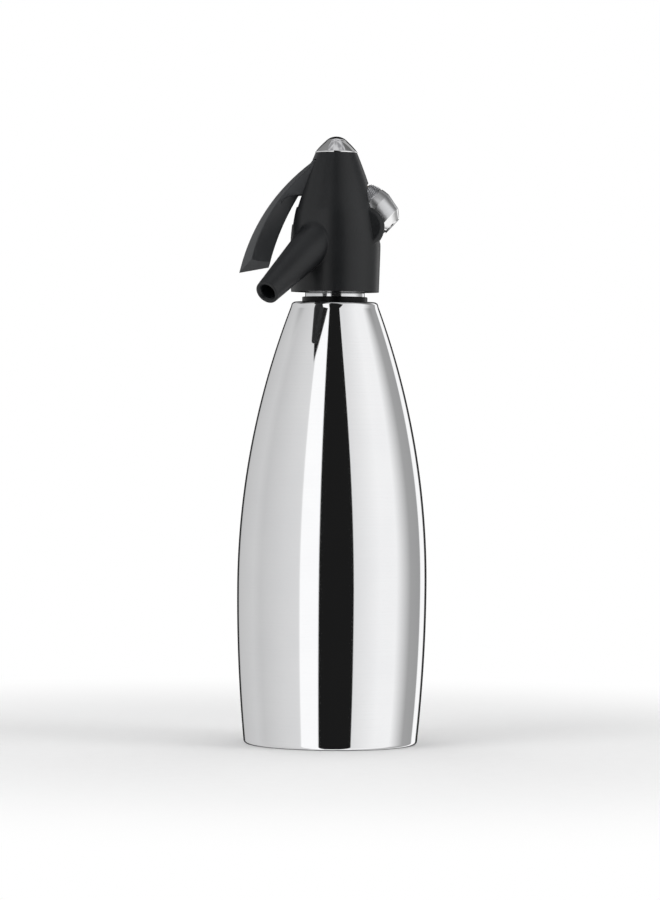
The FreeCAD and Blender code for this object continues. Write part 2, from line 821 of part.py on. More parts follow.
# Inlet nipple and what it holds
nipple_root_r, nipple_r = cell("nipple_root_radius"), cell("nipple_radius")
nipple_bore = cell("nipple_bore")
nipple_floor = cell("nipple_floor")
nipple_end = cell("nipple_root_length") + cell("nipple_length")
pierce_r = cell("pin_hole_radius")
sleeve_r, sleeve_high = cell("sleeve_radius"), cell("sleeve_height")
filter_low = nipple_floor - cell("filter_height")
node(place(turned("InletNipple", [
    (sleeve_r + gap, 0),
    (nipple_root_r, 0),
    (nipple_root_r, cell("nipple_root_length")),
    (nipple_r, cell("nipple_root_length")),
    (nipple_r, nipple_end),
    (nipple_bore, nipple_end),
    (nipple_bore, filter_low),
    (pierce_r, filter_low),
    (pierce_r, sleeve_high),
    (sleeve_r + gap, sleeve_high),
]), inlet_at, inlet_turn), "inlet_nipple")
node(place(ring("SleeveValve", cell("sleeve_bore"), sleeve_r, 0, sleeve_high), inlet_at,
           inlet_turn), "inlet_sleeve_valve")
node(place(ring("GasFilter", pierce_r + gap, nipple_bore - gap, filter_low, nipple_floor),
           inlet_at, inlet_turn), "gas_filter")
seal_end = nipple_floor + cell("charger_seal_height")
node(place(ring("ChargerSeal", cell("charger_seal_bore"), nipple_bore - gap, nipple_floor,
                seal_end), inlet_at, inlet_turn), "charger_seal")
pierce_end = nipple_floor + cell("piercer_height")
pierce_bore = cell("piercer_bore")
node(place(turned("PiercingPin", [
    (pierce_bore, sleeve_high),
    (pierce_r, sleeve_high),
    (pierce_r, pierce_end - cell("piercer_point")),
    (cell("piercer_tip_radius"), pierce_end),
    (pierce_bore, pierce_end),
]), inlet_at, inlet_turn), "piercing_pin")


def gas_route():
    """The gas tube, from the nipple's root down beside the tower to the valve body."""
    radius, thickness = sheet.get("gas_tube_radius"), sheet.get("gas_tube_wall")
    foot = Vector(gas_x.value, gas_y.value, flange_top.value)
    shift = sheet.get("gas_start_shift")
    start = Vector(sheet.get("inlet_x") + shift,
                   sheet.get("nipple_root_radius") - 2 * sheet.get("fit_gap"),
                   inlet_z.value - shift)
    knee = Vector(foot.x, foot.y, start.z - sheet.get("gas_knee_drop"))
    into = (start - knee).normalize()
    bend = sheet.get("gas_bend")
    low, high = knee - Vector(0, 0, bend), knee + into * bend
    axis_a, axis_b = Vector(0, 0, 1), into
    turn = axis_a.getAngle(axis_b)
    bend_radius = bend / math.tan(turn / 2)
    centre_way = (axis_b - axis_a).normalize()
    centre = knee + centre_way * (bend / math.sin(turn / 2))
    middle = centre + (knee - centre).normalize() * bend_radius
    path = Part.Wire([Part.LineSegment(foot, low).toShape(), Part.Arc(low, middle, high).toShape(),
                      Part.LineSegment(high, start).toShape()])
    pipes = []
    for size in (radius, radius - thickness):
        section = Part.Wire(Part.makeCircle(size, foot, Vector(0, 0, 1)))
        pipes.append(path.makePipeShell([section], True, False))
    feature = doc.addObject("Part::Feature", "GasTubeForm")
    feature.Shape = pipes[0].cut(pipes[1])
    return feature


root_clear = place(rod("NippleClear", nipple_root_r + gap, -2 * overrun, pocket_start), inlet_at, inlet_turn)
node(cut("GasTube", gas_route(), root_clear), "gas_tube")

# Inlet cap: a knurled ring round the mouth of a turned metal cap, with a seal inside
cap_low = cell("cap_start")
seam, seam_r = cell("cap_seam"), cell("cap_seam_radius")
widest, widest_r = cell("cap_widest"), cell("cap_widest_radius")
shoulder, cap_shoulder_r = cell("cap_shoulder"), cell("cap_shoulder_radius")
cap_end, cap_end_r = cell("cap_end"), cell("cap_end_radius")
cap_bore = nipple_r + cell("cap_bore_gap")
hollow_end = nipple_end + cell("cap_seal_height") + 2 * cell("seat_gap")
groove = cell("cap_groove_depth")
body_curve = cell("cap_body_curve")
node(place(turned("CapGripRing", [
    (cap_bore, cap_low),
    (cell("cap_mouth_radius"), cap_low),
    (cell("cap_bevel_radius"), cell("cap_bevel")),
    (seam_r, seam),
    (cap_bore, seam),
]), inlet_at, inlet_turn), "cap_grip_ring")
node(place(turned("InletCap", [
    (cap_bore, seam),
    (seam_r - groove, seam),
    (seam_r - groove, seam + groove),
    (cell("cap_lip_radius"), seam + groove),
    (widest_r, widest, body_curve, 1),
    (cap_shoulder_r, shoulder),
    (cap_end_r, cap_end),
    (0, cap_end),
    (0, hollow_end),
    (cap_bore, hollow_end),
]), inlet_at, inlet_turn), "inlet_cap")
seal_top = hollow_end - cell("seat_gap")
node(place(ring("CapSeal", nipple_r - cell("cap_seal_wall"), nipple_r, seal_top - cell("cap_seal_height"),
                seal_top), inlet_at, inlet_turn), "cap_seal")

doc.recompute()

for item in doc.Objects:
    if "Invalid" in item.State or "Error" in item.State:
        raise RuntimeError(f"{item.Name} failed: {item.State}")
os.makedirs("parts", exist_ok=True)
for piece in NODES:
    shape = piece.Shape
    if shape.isNull() or not shape.isValid() or not shape.Solids:
        raise RuntimeError(f"{piece.Label} has no sound shape")
for piece in NODES:
    piece.Shape.exportStep(f"parts/{piece.Label}.step")
    print(f"{piece.Label}: {len(piece.Shape.Solids)} solid, {piece.Shape.Volume:.1f} mm3")
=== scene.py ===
"""Looks of the soda siphon: a mirror steel bottle, a black lever head and a capped charging inlet.

Every size is in millimetres and is brought to metres when a mesh is made. The origin is the centre of
the bottle's base, +Z is up, the camera stands on the -Y side and the lever points to -X.
"""

import logging
import math
from collections.abc import Callable, Sequence
from dataclasses import dataclass, field
from enum import Enum

import bmesh
import bpy
import numpy as np
from mathutils import Matrix, Vector


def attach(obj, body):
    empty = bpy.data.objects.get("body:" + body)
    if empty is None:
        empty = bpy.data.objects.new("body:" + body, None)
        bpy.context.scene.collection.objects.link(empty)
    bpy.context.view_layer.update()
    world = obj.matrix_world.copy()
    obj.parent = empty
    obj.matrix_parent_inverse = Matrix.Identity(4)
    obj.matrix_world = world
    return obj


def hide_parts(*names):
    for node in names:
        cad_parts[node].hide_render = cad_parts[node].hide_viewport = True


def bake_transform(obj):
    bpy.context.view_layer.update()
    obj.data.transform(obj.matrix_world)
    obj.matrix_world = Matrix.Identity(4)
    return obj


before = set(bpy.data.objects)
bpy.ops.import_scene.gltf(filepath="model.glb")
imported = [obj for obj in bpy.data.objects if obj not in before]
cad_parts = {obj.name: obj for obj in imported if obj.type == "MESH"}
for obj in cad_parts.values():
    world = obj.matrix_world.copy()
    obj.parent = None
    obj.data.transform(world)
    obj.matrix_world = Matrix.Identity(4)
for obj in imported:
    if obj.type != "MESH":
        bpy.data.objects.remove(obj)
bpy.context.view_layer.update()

MM = 0.001
FULL_TURN = 2 * math.pi
HOLE_SIDES = 40
ROUND_SHARE = 0.45
LINE_REACH = 60.0
HALVINGS = 40
CARD_SIDES = 96
FLOOR_SIDES = 64
LOG = logging.getLogger("siphon")

Pair = tuple[float, float]
Triple = tuple[float, float, float]
RadiusShape = Callable[[np.ndarray, np.ndarray, np.ndarray], np.ndarray]


# Shader arithmetic.


def _joining(operation: str, swapped: bool = False) -> Callable[["Value", "Value | float"], "Value"]:
    """Make a method that joins a value and another one.

    Args:
        operation: The Math node's operation.
        swapped: Whether the other value comes first.

    Returns:
        The method.
    """
    def join(self: "Value", other: "Value | float") -> "Value":
        """Add the Math node and wrap its result."""
        pair = (other, self) if swapped else (self, other)
        return self.tree.value("ShaderNodeMath", 0, {"operation": operation}, dict(enumerate(pair)))

    return join


class Value:
    """A shader socket that takes part in Python arithmetic."""

    def __init__(self, tree: "NodeMaker", socket: bpy.types.NodeSocket) -> None:
        """Wrap one output socket of a tree."""
        self.tree = tree
        self.socket = socket

    __add__ = __radd__ = _joining("ADD")
    __sub__ = _joining("SUBTRACT")
    __rsub__ = _joining("SUBTRACT", swapped=True)
    __mul__ = __rmul__ = _joining("MULTIPLY")
    __truediv__ = _joining("DIVIDE")
    largest = _joining("MAXIMUM")
    angle_from = _joining("ARCTAN2")

    def between(self, low: float, high: float) -> "Value":
        """Smooth step of this value from 0 at low to 1 at high."""
        return self.tree.value("ShaderNodeMapRange", 0, {"interpolation_type": "SMOOTHSTEP"},
                               {"Value": self, "From Min": low, "From Max": high})

    def size(self) -> "Value":
        """This value without its sign."""
        return self.largest(self * -1.0)


class NodeMaker:
    """Nodes of one material, of the world or of a Geometry Nodes group."""

    def __init__(self, tree: bpy.types.NodeTree) -> None:
        """Empty the tree."""
        self.tree = tree
        tree.nodes.clear()

    def node(self, kind: str, settings: dict | None = None,
             inputs: dict | None = None) -> bpy.types.Node:
        """Add any node.

        Args:
            kind: The node's type.
            settings: Its properties, set first. "stops" fills a colour ramp, and "capture" adds an
                item to a Capture Attribute node.
            inputs: Values or links by socket name, identifier or number.

        Returns:
            The new node.
        """
        made = self.tree.nodes.new(kind)
        for name, value in (settings or {}).items():
            if name == "stops":
                self._fill_ramp(made.color_ramp, value)
            elif name == "capture":
                made.capture_items.new(*value)
            else:
                setattr(made, name, value)
        for key, value in (inputs or {}).items():
            socket = self._socket(made.inputs, key)
            if isinstance(value, Value):
                self.tree.links.new(value.socket, socket)
            else:
                socket.default_value = value
        return made

    def value(self, kind: str, output: str | int = 0, settings: dict | None = None,
              inputs: dict | None = None) -> Value:
        """Add a node and wrap one of its outputs, by name, identifier or number."""
        return Value(self, self._socket(self.node(kind, settings, inputs).outputs, output))

    @staticmethod
    def _socket(sockets: Sequence[bpy.types.NodeSocket], key: str | int) -> bpy.types.NodeSocket:
        """Find a socket by its number, name or identifier."""
        if isinstance(key, int):
            return sockets[key]
        return next(socket for socket in sockets if key in (socket.identifier, socket.name))

    @staticmethod
    def _fill_ramp(ramp: bpy.types.ColorRamp, stops: Sequence[Pair]) -> None:
        """Give a colour ramp its grey stops.

        Args:
            ramp: The ramp of a new node.
            stops: Each stop's (position, level).
        """
        while len(ramp.elements) > 1:
            ramp.elements.remove(ramp.elements[-1])
        for number, (position, level) in enumerate(stops):
            element = ramp.elements[0] if number == 0 else ramp.elements.new(position)
            element.position = position
            element.color = (level, level, level, 1.0)

    def object_point(self) -> Value:
        """Object coordinates, in metres."""
        return self.value("ShaderNodeTexCoord", "Object")

    def along(self, point: Value, axis: Triple) -> Value:
        """How far a point lies along an axis through the origin."""
        return self.value("ShaderNodeVectorMath", "Value", {"operation": "DOT_PRODUCT"},
                          {0: point, 1: axis})

    def noise(self, point: Value, scale: float, detail: float = 2.0) -> Value:
        """Soft noise of about 0 to 1 over a surface."""
        return self.value("ShaderNodeTexNoise", 0, {"noise_dimensions": "3D"},
                          {"Vector": point, "Scale": scale, "Detail": detail})

    def rings(self, distance: Value, scale: float, detail: float = 2.0) -> Value:
        """Noise that changes along one axis only, as a lathe leaves it."""
        return self.value("ShaderNodeTexNoise", 0, {"noise_dimensions": "1D"},
                          {"W": distance, "Scale": scale, "Detail": detail})

    def blend(self, share: Value, first: Triple | Value, second: Triple | Value) -> Value:
        """A colour between two colours."""
        ends = [end if isinstance(end, Value) else (*end, 1.0) for end in (first, second)]
        return self.value("ShaderNodeMix", "Result_Color", {"data_type": "RGBA"},
                          {"Factor_Float": share, "A_Color": ends[0], "B_Color": ends[1]})

    def bump(self, height: Value, distance: float, strength: float,
             normal: Value | None = None) -> Value:
        """A normal shaped by a height.

        Args:
            height: The height, from about 0 to 1.
            distance: How far a height of 1 rises, in metres.
            strength: Share of the bump that shows.
            normal: The normal that it starts from.

        Returns:
            The new normal.
        """
        inputs = {"Height": height, "Distance": distance, "Strength": strength}
        if normal is not None:
            inputs["Normal"] = normal
        return self.value("ShaderNodeBump", "Normal", None, inputs)


def surface(name: str, tree_maker: Callable[[NodeMaker], Value]) -> bpy.types.Material:
    """Make a material, or find it when it is made already.

    Args:
        name: The material's name.
        tree_maker: Builds the nodes and gives the last shader.

    Returns:
        The material.
    """
    found = bpy.data.materials.get(name)
    if found is not None:
        return found
    material = bpy.data.materials.new(name)
    material.use_nodes = True
    tree = NodeMaker(material.node_tree)
    tree.node("ShaderNodeOutputMaterial", None, {"Surface": tree_maker(tree)})
    return material


# Finishes.


@dataclass(frozen=True)
class Finish:
    """What every finish has: its names, its two tones and its roughness."""

    name: str
    slot: str
    light: Triple
    shade: Triple
    roughness: float

    def material(self) -> bpy.types.Material:
        """The finish as a material."""
        return surface(self.name, self._shader)

    def _shader(self, tree: NodeMaker) -> Value:
        """Build the nodes and give the shader."""
        raise NotImplementedError

    @staticmethod
    def _rounded(tree: NodeMaker, radius: float) -> Value:
        """A normal that rounds the edges, by a radius in millimetres."""
        return tree.value("ShaderNodeBevel", 0, {"samples": 6}, {"Radius": radius * MM})


@dataclass(frozen=True)
class Metal(Finish):
    """A metal finish with the rings that turning or polishing leaves.

    The rings run round `axis`, and `smudge` widens the roughness in soft patches. Past a given distance
    along the axis, in millimetres from the origin, the colour turns near white as a painted highlight,
    and the roughness drops.
    """

    smudge: float
    ring_scale: float
    ring_depth: float
    axis: Triple = (0.0, 0.0, 1.0)
    edge_radius: float = 0.0
    # Start of the painted highlight band along the axis, in millimetres; None for no band.
    highlight_from: float | None = None
    patch_scale: float = 38.0
    grain_scale: float = 900.0
    # Colour of the painted highlight band, and its roughness.
    highlight_colour: Triple = (0.97, 0.97, 0.97)
    highlight_roughness: float = 0.1

    def _shader(self, tree: NodeMaker) -> Value:
        """Build the nodes and give the shader."""
        point = tree.object_point()
        patches = tree.noise(point, self.patch_scale, 3.0)
        distance = tree.along(point, self.axis)
        rings = tree.rings(distance, self.ring_scale, 3.0)
        grain = tree.noise(point, self.grain_scale)
        tone = patches * 0.7 + rings * 0.3
        roughness = self.roughness + (patches - 0.5) * self.smudge
        roughness = roughness + (grain - 0.5) * (self.smudge * 0.3)
        height = rings * 0.8 + grain * 0.2
        colour = tree.blend(tone.between(0.3, 0.7), self.shade, self.light)
        # Painted highlight: past the given distance the colour turns near white, standing in for the
        # bevel's white reflection.
        if self.highlight_from is not None:
            bright = (distance - self.highlight_from * MM).between(0.0, 0.1 * MM)
            colour = tree.blend(bright, colour, self.highlight_colour)
            roughness = roughness - bright * (self.roughness - self.highlight_roughness)
        rounded = self._rounded(tree, self.edge_radius) if self.edge_radius else None
        return tree.value("ShaderNodeBsdfPrincipled", 0, None, {
            "Base Color": colour,
            "Metallic": 1.0,
            "Roughness": roughness.largest(0.02),
            "Normal": tree.bump(height, self.ring_depth * MM, 0.6, rounded),
        })


@dataclass(frozen=True)
class Moulded(Finish):
    """A moulded plastic or rubber with its fine skin."""

    spread: float
    grain_scale: float
    grain_depth: float
    coat: float = 0.0
    edge_radius: float = 0.35
    gloss: float = 0.5
    patch_scale: float = 60.0
    coat_roughness: float = 0.2

    def _shader(self, tree: NodeMaker) -> Value:
        """Build the nodes and give the shader."""
        point = tree.object_point()
        patches = tree.noise(point, self.patch_scale, 3.0)
        grain = tree.noise(point, self.grain_scale, 4.0)
        tone = (patches * 0.6 + grain * 0.4).between(0.3, 0.7)
        roughness = self.roughness + (patches - 0.5) * self.spread
        roughness = roughness + (grain - 0.5) * (self.spread * 0.6)
        return tree.value("ShaderNodeBsdfPrincipled", 0, None, {
            "Base Color": tree.blend(tone, self.shade, self.light),
            "Roughness": roughness,
            "Specular IOR Level": self.gloss,
            "Coat Weight": self.coat,
            "Coat Roughness": self.coat_roughness,
            "Normal": tree.bump(grain, self.grain_depth * MM, 0.5,
                                self._rounded(tree, self.edge_radius)),
        })


INLET_WAY: Triple = (0.7313537, 0.0, -0.6819984)
MIRROR = Metal("mirror_steel_polished", "mirror_steel", (0.93, 0.932, 0.94), (0.9, 0.903, 0.915),
               0.045, 0.03, 1400.0, 0.0012)
NECK = Metal("neck_steel_turned", "neck_steel", (0.88, 0.885, 0.895), (0.8, 0.805, 0.82),
             0.12, 0.06, 2200.0, 0.004)
CHROME = Metal("dome_chrome", "chrome_dome", (0.95, 0.95, 0.955), (0.92, 0.922, 0.93),
               0.035, 0.02, 900.0, 0.0006)
# The satin cap carries a painted highlight on its end bevel.
SATIN = Metal("satin_silver_turned", "satin_silver", (0.76, 0.765, 0.775), (0.68, 0.685, 0.7),
              0.3, 0.08, 3600.0, 0.004, INLET_WAY, highlight_from=-166.8)
KNURLED = Metal("knurled_silver_grip", "knurled_silver", (0.56, 0.565, 0.58), (0.38, 0.385, 0.4),
                0.34, 0.1, 2600.0, 0.005, INLET_WAY)
BRASS = Metal("brass_turned", "brass", (0.83, 0.62, 0.27), (0.72, 0.5, 0.19),
              0.22, 0.1, 2600.0, 0.006, (0.0, 0.0, 1.0), 0.2)
INNER = Metal("inner_steel_drawn", "inner_steel", (0.72, 0.72, 0.73), (0.6, 0.605, 0.62),
              0.24, 0.1, 1500.0, 0.005, (0.0, 0.0, 1.0), 0.2)
BLACK = Moulded("black_plastic_satin", "black_plastic", (0.0092, 0.0102, 0.0116),
                (0.0064, 0.0072, 0.0082), 0.38, 0.08, 2600.0, 0.012, gloss=0.42)
# The head's black plastic painted lighter for the lever: painted light, standing in for the light its
# sides catch.
LIT_BLACK = Moulded("black_plastic_painted_lighter", "black_plastic", (0.031, 0.0335, 0.037),
               (0.024, 0.026, 0.0288), 0.42, 0.08, 2600.0, 0.01, gloss=0.85)
# The head's black plastic painted darker for the ring under the head's overhang: painted shade.
SHADED_BLACK = Moulded("black_plastic_painted_shade", "black_plastic", (0.0034, 0.0036, 0.004),
                     (0.0024, 0.0026, 0.0028), 0.34, 0.08, 2600.0, 0.01, gloss=0.16)
RUBBER = Moulded("black_rubber_matt", "black_rubber", (0.03, 0.03, 0.031), (0.018, 0.018, 0.019),
                 0.62, 0.12, 1800.0, 0.02)
WHITE = Moulded("white_plastic_smooth", "clear_white_plastic", (0.84, 0.85, 0.85), (0.77, 0.78, 0.785),
                0.32, 0.08, 1500.0, 0.008, 0.1)


# Outlines and meshes.


def bow_radius(reach: float, depth: float) -> float:
    """Radius of an arc by how far it reaches along its tangent and how far it falls away."""
    return (reach ** 2 + depth ** 2) / (2 * depth)


def bend(first: np.ndarray | Vector, corner: np.ndarray | Vector, last: np.ndarray | Vector,
         share: float) -> np.ndarray | Vector:
    """The point a share of the way along a curve that rounds a corner off."""
    return first * (1 - share) ** 2 + corner * 2 * share * (1 - share) + last * share ** 2


@dataclass
class Outline:
    """A profile of straight and curved runs, with each named corner rounded off."""

    points: list[Pair] = field(default_factory=list)
    rounds: list[float] = field(default_factory=list)

    def to(self, x: float, y: float, rounding: float = 0.0) -> "Outline":
        """Add a corner.

        Args:
            x: Distance from the axis.
            y: Height.
            rounding: Radius that rounds the corner off.

        Returns:
            The same outline.
        """
        self.points.append((x, y))
        self.rounds.append(rounding)
        return self

    def arc(self, x: float, y: float, radius: float, turn: int, steps: int,
            rounding: float = 0.0) -> "Outline":
        """Add a short arc from the last corner.

        Args:
            x: Where it ends, from the axis.
            y: Height where it ends.
            radius: Its radius.
            turn: 1 anticlockwise, -1 clockwise.
            steps: How many runs it is made of.
            rounding: Radius that rounds its last corner off.

        Returns:
            The same outline.
        """
        start, end = np.array(self.points[-1]), np.array((x, y))
        chord = end - start
        length = float(np.hypot(*chord))
        side = np.array((-chord[1], chord[0])) / length * turn
        centre = (start + end) / 2 + side * math.sqrt(max(radius ** 2 - length ** 2 / 4, 0.0))
        first = math.atan2(*(start - centre)[::-1])
        sweep = 2 * math.asin(min(length / 2 / radius, 1.0)) * turn
        for number in range(1, steps):
            angle = first + sweep * number / steps
            self.to(centre[0] + radius * math.cos(angle), centre[1] + radius * math.sin(angle))
        return self.to(x, y, rounding)

    def run(self, x: float, y: float, steps: int) -> "Outline":
        """Add a straight run that is divided evenly.

        Args:
            x: Where it ends, from the axis.
            y: Height where it ends.
            steps: How many parts it is divided into.

        Returns:
            The same outline.
        """
        start_x, start_y = self.points[-1]
        for number in range(1, steps + 1):
            share = number / steps
            self.to(start_x + (x - start_x) * share, start_y + (y - start_y) * share)
        return self

    def rounded(self, closed: bool, steps: int = 4) -> list[Pair]:
        """The outline's points with its corners rounded.

        Args:
            closed: Whether the last point joins the first.
            steps: How many runs each rounding has.

        Returns:
            The points in order.
        """
        made: list[Pair] = []
        count = len(self.points)
        for number, (point, radius) in enumerate(zip(self.points, self.rounds)):
            inner = closed or 0 < number < count - 1
            if not radius or not inner:
                made.append(point)
                continue
            here = np.array(point)
            back = np.array(self.points[number - 1]) - here
            ahead = np.array(self.points[(number + 1) % count]) - here
            back_length, ahead_length = np.hypot(*back), np.hypot(*ahead)
            back, ahead = back / back_length, ahead / ahead_length
            half = math.acos(float(np.clip(back @ ahead, -1, 1))) / 2
            reach = min(radius / math.tan(half), ROUND_SHARE * back_length, ROUND_SHARE * ahead_length)
            for step in range(steps + 1):
                x, y = bend(here + back * reach, here, here + ahead * reach, step / steps)
                made.append((float(x), float(y)))
        return made


@dataclass(frozen=True)
class Axis:
    """A line that a turned piece stands on, from a point and along a direction."""

    start: Triple = (0.0, 0.0, 0.0)
    way: Triple = (0.0, 0.0, 1.0)

    def matrix(self) -> Matrix:
        """Place of a piece that was turned about Z."""
        turn = Vector(self.way).to_track_quat("Z", "Y").to_matrix().to_4x4()
        return Matrix.Translation(Vector(self.start)) @ turn


UPRIGHT = Axis()


def finish_mesh(name: str, points: Sequence[Sequence[float]], faces: Sequence[Sequence[int]],
                place: Matrix | None = None, sharp: float = 40.0) -> bpy.types.Object:
    """Make an object of points and faces.

    Args:
        name: The object's name.
        points: Points in millimetres.
        faces: Corner numbers of each face.
        place: Where the mesh goes, in millimetres.
        sharp: Edges that turn by more degrees than this stay crisp.

    Returns:
        The object, at the origin and in metres.
    """
    mesh = bpy.data.meshes.new(name)
    mesh.from_pydata([tuple(point) for point in points], [], [tuple(face) for face in faces])
    mesh.transform(Matrix.Scale(MM, 4) @ (place or Matrix.Identity(4)))
    clean(mesh, merge=1e-7, face_out=True)
    smooth(mesh, sharp)
    return new_object(name, mesh)


def new_object(name: str, data: bpy.types.ID) -> bpy.types.Object:
    """Make an object in the scene."""
    made = bpy.data.objects.new(name, data)
    bpy.context.scene.collection.objects.link(made)
    return made


def final_mesh(source: bpy.types.Object) -> bpy.types.Mesh:
    """A plain mesh of what an object's curve or modifiers give."""
    bpy.context.view_layer.update()
    graph = bpy.context.evaluated_depsgraph_get()
    return bpy.data.meshes.new_from_object(source.evaluated_get(graph))


def clean(mesh: bpy.types.Mesh, merge: float = 0.0, dissolve: float = 0.0,
          face_out: bool = False) -> None:
    """Clean a mesh up.

    Args:
        mesh: The mesh, in metres.
        merge: Points nearer than this become one.
        dissolve: Edges shorter than this and faces without area go.
        face_out: Whether the faces are turned outwards.
    """
    work = bmesh.new()
    work.from_mesh(mesh)
    if merge:
        bmesh.ops.remove_doubles(work, verts=work.verts, dist=merge)
    if dissolve:
        bmesh.ops.dissolve_degenerate(work, edges=work.edges, dist=dissolve)
    if face_out:
        bmesh.ops.recalc_face_normals(work, faces=work.faces)
    work.to_mesh(mesh)
    work.free()


def ring_faces(rows: int, count: int, closed: bool = False) -> list[tuple[int, ...]]:
    """Quads between rows of points that each run round in a ring.

    Args:
        rows: How many rows there are.
        count: Points in each row.
        closed: Whether the last row joins the first.

    Returns:
        Corner numbers of each face.
    """
    faces: list[tuple[int, ...]] = []
    for row in range(rows if closed else rows - 1):
        low, high = row * count, ((row + 1) % rows) * count
        for side in range(count):
            after = (side + 1) % count
            faces.append((low + side, low + after, high + after, high + side))
    return faces


def smooth(mesh: bpy.types.Mesh, sharp: float) -> None:
    """Shade a mesh smooth but for its crisp edges."""
    mesh.shade_smooth()
    mesh.set_sharp_from_angle(angle=math.radians(sharp))


def lathe(name: str, profile: Sequence[Pair], axis: Axis = UPRIGHT, segments: int = 160,
          closed: bool = True, shape: RadiusShape | None = None,
          sharp: float = 40.0) -> bpy.types.Object:
    """Turn a profile about an axis.

    Args:
        name: The object's name.
        profile: Points (radius, height) in order.
        axis: The line that the piece stands on.
        segments: How many sides the piece has.
        closed: Whether the last point joins the first; otherwise both ends lie on the axis.
        shape: Gives each point's new radius from its turn, radius and height.
        sharp: Edges that turn by more degrees than this stay crisp.

    Returns:
        The object.
    """
    radii, heights = np.array(profile, float).T
    turn_grid, radius_grid = np.meshgrid(turns(segments), radii)
    height_grid = np.repeat(heights[:, None], segments, axis=1)
    if shape is not None:
        radius_grid = shape(turn_grid, radius_grid, height_grid)
    points = np.stack((radius_grid * np.cos(turn_grid), radius_grid * np.sin(turn_grid),
                       height_grid), -1)
    faces = ring_faces(len(profile), segments, closed)
    made = finish_mesh(name, points.reshape(-1, 3), faces, axis.matrix(), sharp)
    clean(made.data, dissolve=1e-8)
    return made


def turns(count: int) -> np.ndarray:
    """Angles that divide a full turn evenly."""
    return np.arange(count) * FULL_TURN / count


def plate(name: str, outer: Sequence[Pair], holes: Sequence[Triple],
          half_width: float, rounding: float) -> bpy.types.Object:
    """Make a flat piece from its side outline in X and Z.

    Args:
        name: The object's name.
        outer: The outline's points (x, z).
        holes: Round holes, each (x, z, radius).
        half_width: Half the piece's width along Y.
        rounding: Radius of its long edges.

    Returns:
        The object.
    """
    curve = bpy.data.curves.new(name, "CURVE")
    curve.dimensions = "2D"
    curve.fill_mode = "BOTH"
    curve.extrude = (half_width - rounding) * MM
    curve.bevel_depth = rounding * MM
    curve.bevel_resolution = 3
    curve.offset = -rounding * MM
    round_holes = [[(x + radius * math.cos(a), z + radius * math.sin(a)) for a in turns(HOLE_SIDES)]
                   for x, z, radius in holes]
    for loop in (outer, *round_holes):
        spline = curve.splines.new("POLY")
        spline.points.add(len(loop) - 1)
        for point, (x, z) in zip(spline.points, loop):
            point.co = (x * MM, z * MM, 0.0, 1.0)
        spline.use_cyclic_u = True
    source = new_object(name + "_curve", curve)
    mesh = final_mesh(source)
    bpy.data.objects.remove(source)
    mesh.transform(Matrix.Rotation(math.pi / 2, 4, "X"))
    clean(mesh, merge=1e-6, face_out=True)
    smooth(mesh, 35.0)
    return new_object(name, mesh)


def dress(piece: bpy.types.Object, finish: Finish, body: str,
          nodes: Sequence[str] = ()) -> bpy.types.Object:
    """Give a piece its finish, the body that it rides on and the CAD nodes that it stands for.

    Args:
        piece: The finished object.
        finish: What it is made of.
        body: The body's name.
        nodes: CAD nodes that it replaces.

    Returns:
        The same object.
    """
    piece.data.materials.clear()
    piece.data.materials.append(finish.material())
    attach(piece, body)
    if nodes:
        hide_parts(*nodes)
    LOG.info("%s: %d faces on %s", piece.name, len(piece.data.polygons), body)
    return piece


def keep_node(name: str, finish: Finish) -> None:
    """Let a CAD node show, with a better material.

    Args:
        name: The CAD node.
        finish: What it is made of.
    """
    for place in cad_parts[name].material_slots:
        place.link = "OBJECT"
        place.material = finish.material()
    LOG.info("%s: CAD node in %s", name, finish.name)


def copy_node(name: str, made_name: str, sharp: float = 32.0) -> bpy.types.Object:
    """Copy a CAD node's mesh, join its loose triangles and shade it smooth.

    Args:
        name: The CAD node.
        made_name: The copy's name.
        sharp: Edges that turn by more degrees than this stay crisp.

    Returns:
        The copy.
    """
    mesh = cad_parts[name].data.copy()
    mesh.name = made_name
    clean(mesh, merge=2e-7, dissolve=1e-7)
    if mesh.attributes.get("custom_normal") is not None:
        mesh.attributes.remove(mesh.attributes["custom_normal"])
    smooth(mesh, sharp)
    return new_object(made_name, mesh)


def blend_spring() -> None:
    """Copy the valve spring in the inner steel, bake its place and hide the CAD node."""
    spring = copy_node("valve_spring", "valve_spring_coil")
    spring.data.materials.clear()
    spring.data.materials.append(INNER.material())
    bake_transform(spring)
    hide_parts("valve_spring")
    LOG.info("%s: %d faces between head and spindle", spring.name, len(spring.data.polygons))


def subtract(base: bpy.types.Object, tool: bpy.types.Object, sharp: float = 40.0) -> bpy.types.Object:
    """Cut one closed mesh from another and drop the tool.

    Args:
        base: The object to cut.
        tool: What is cut away.
        sharp: Edges that turn by more degrees than this stay crisp.

    Returns:
        The cut object.
    """
    modifier = base.modifiers.new("cut", "BOOLEAN")
    modifier.operation = "DIFFERENCE"
    modifier.solver = "EXACT"
    modifier.object = tool
    base.data = final_mesh(base)
    base.modifiers.clear()
    bpy.data.objects.remove(tool)
    smooth(base.data, sharp)
    return base


@dataclass(frozen=True)
class Thread:
    """A screw thread on a wall, which fades at both of its ends."""

    wall: float
    depth: float
    pitch: float
    low: float
    high: float
    outside: bool = True

    def shape(self, turns: np.ndarray, radii: np.ndarray, heights: np.ndarray) -> np.ndarray:
        """Move the wall's points in or out along the thread.

        Args:
            turns: Each point's turn round the axis.
            radii: Each point's radius.
            heights: Each point's height.

        Returns:
            The new radii.
        """
        phase = (heights / self.pitch - turns / FULL_TURN) % 1.0
        tooth = np.clip(2.2 * (1.0 - np.abs(2 * phase - 1)) - 0.6, 0.0, 1.0)
        inside = np.clip(np.minimum(heights - self.low, self.high - heights) / self.pitch, 0.0, 1.0)
        on_wall = (np.abs(radii - self.wall) < 1e-6) & (heights > self.low) & (heights < self.high)
        cut = self.depth * (1.0 - tooth) * inside
        return np.where(on_wall, radii - cut if self.outside else radii + cut, radii)


# The bottle.


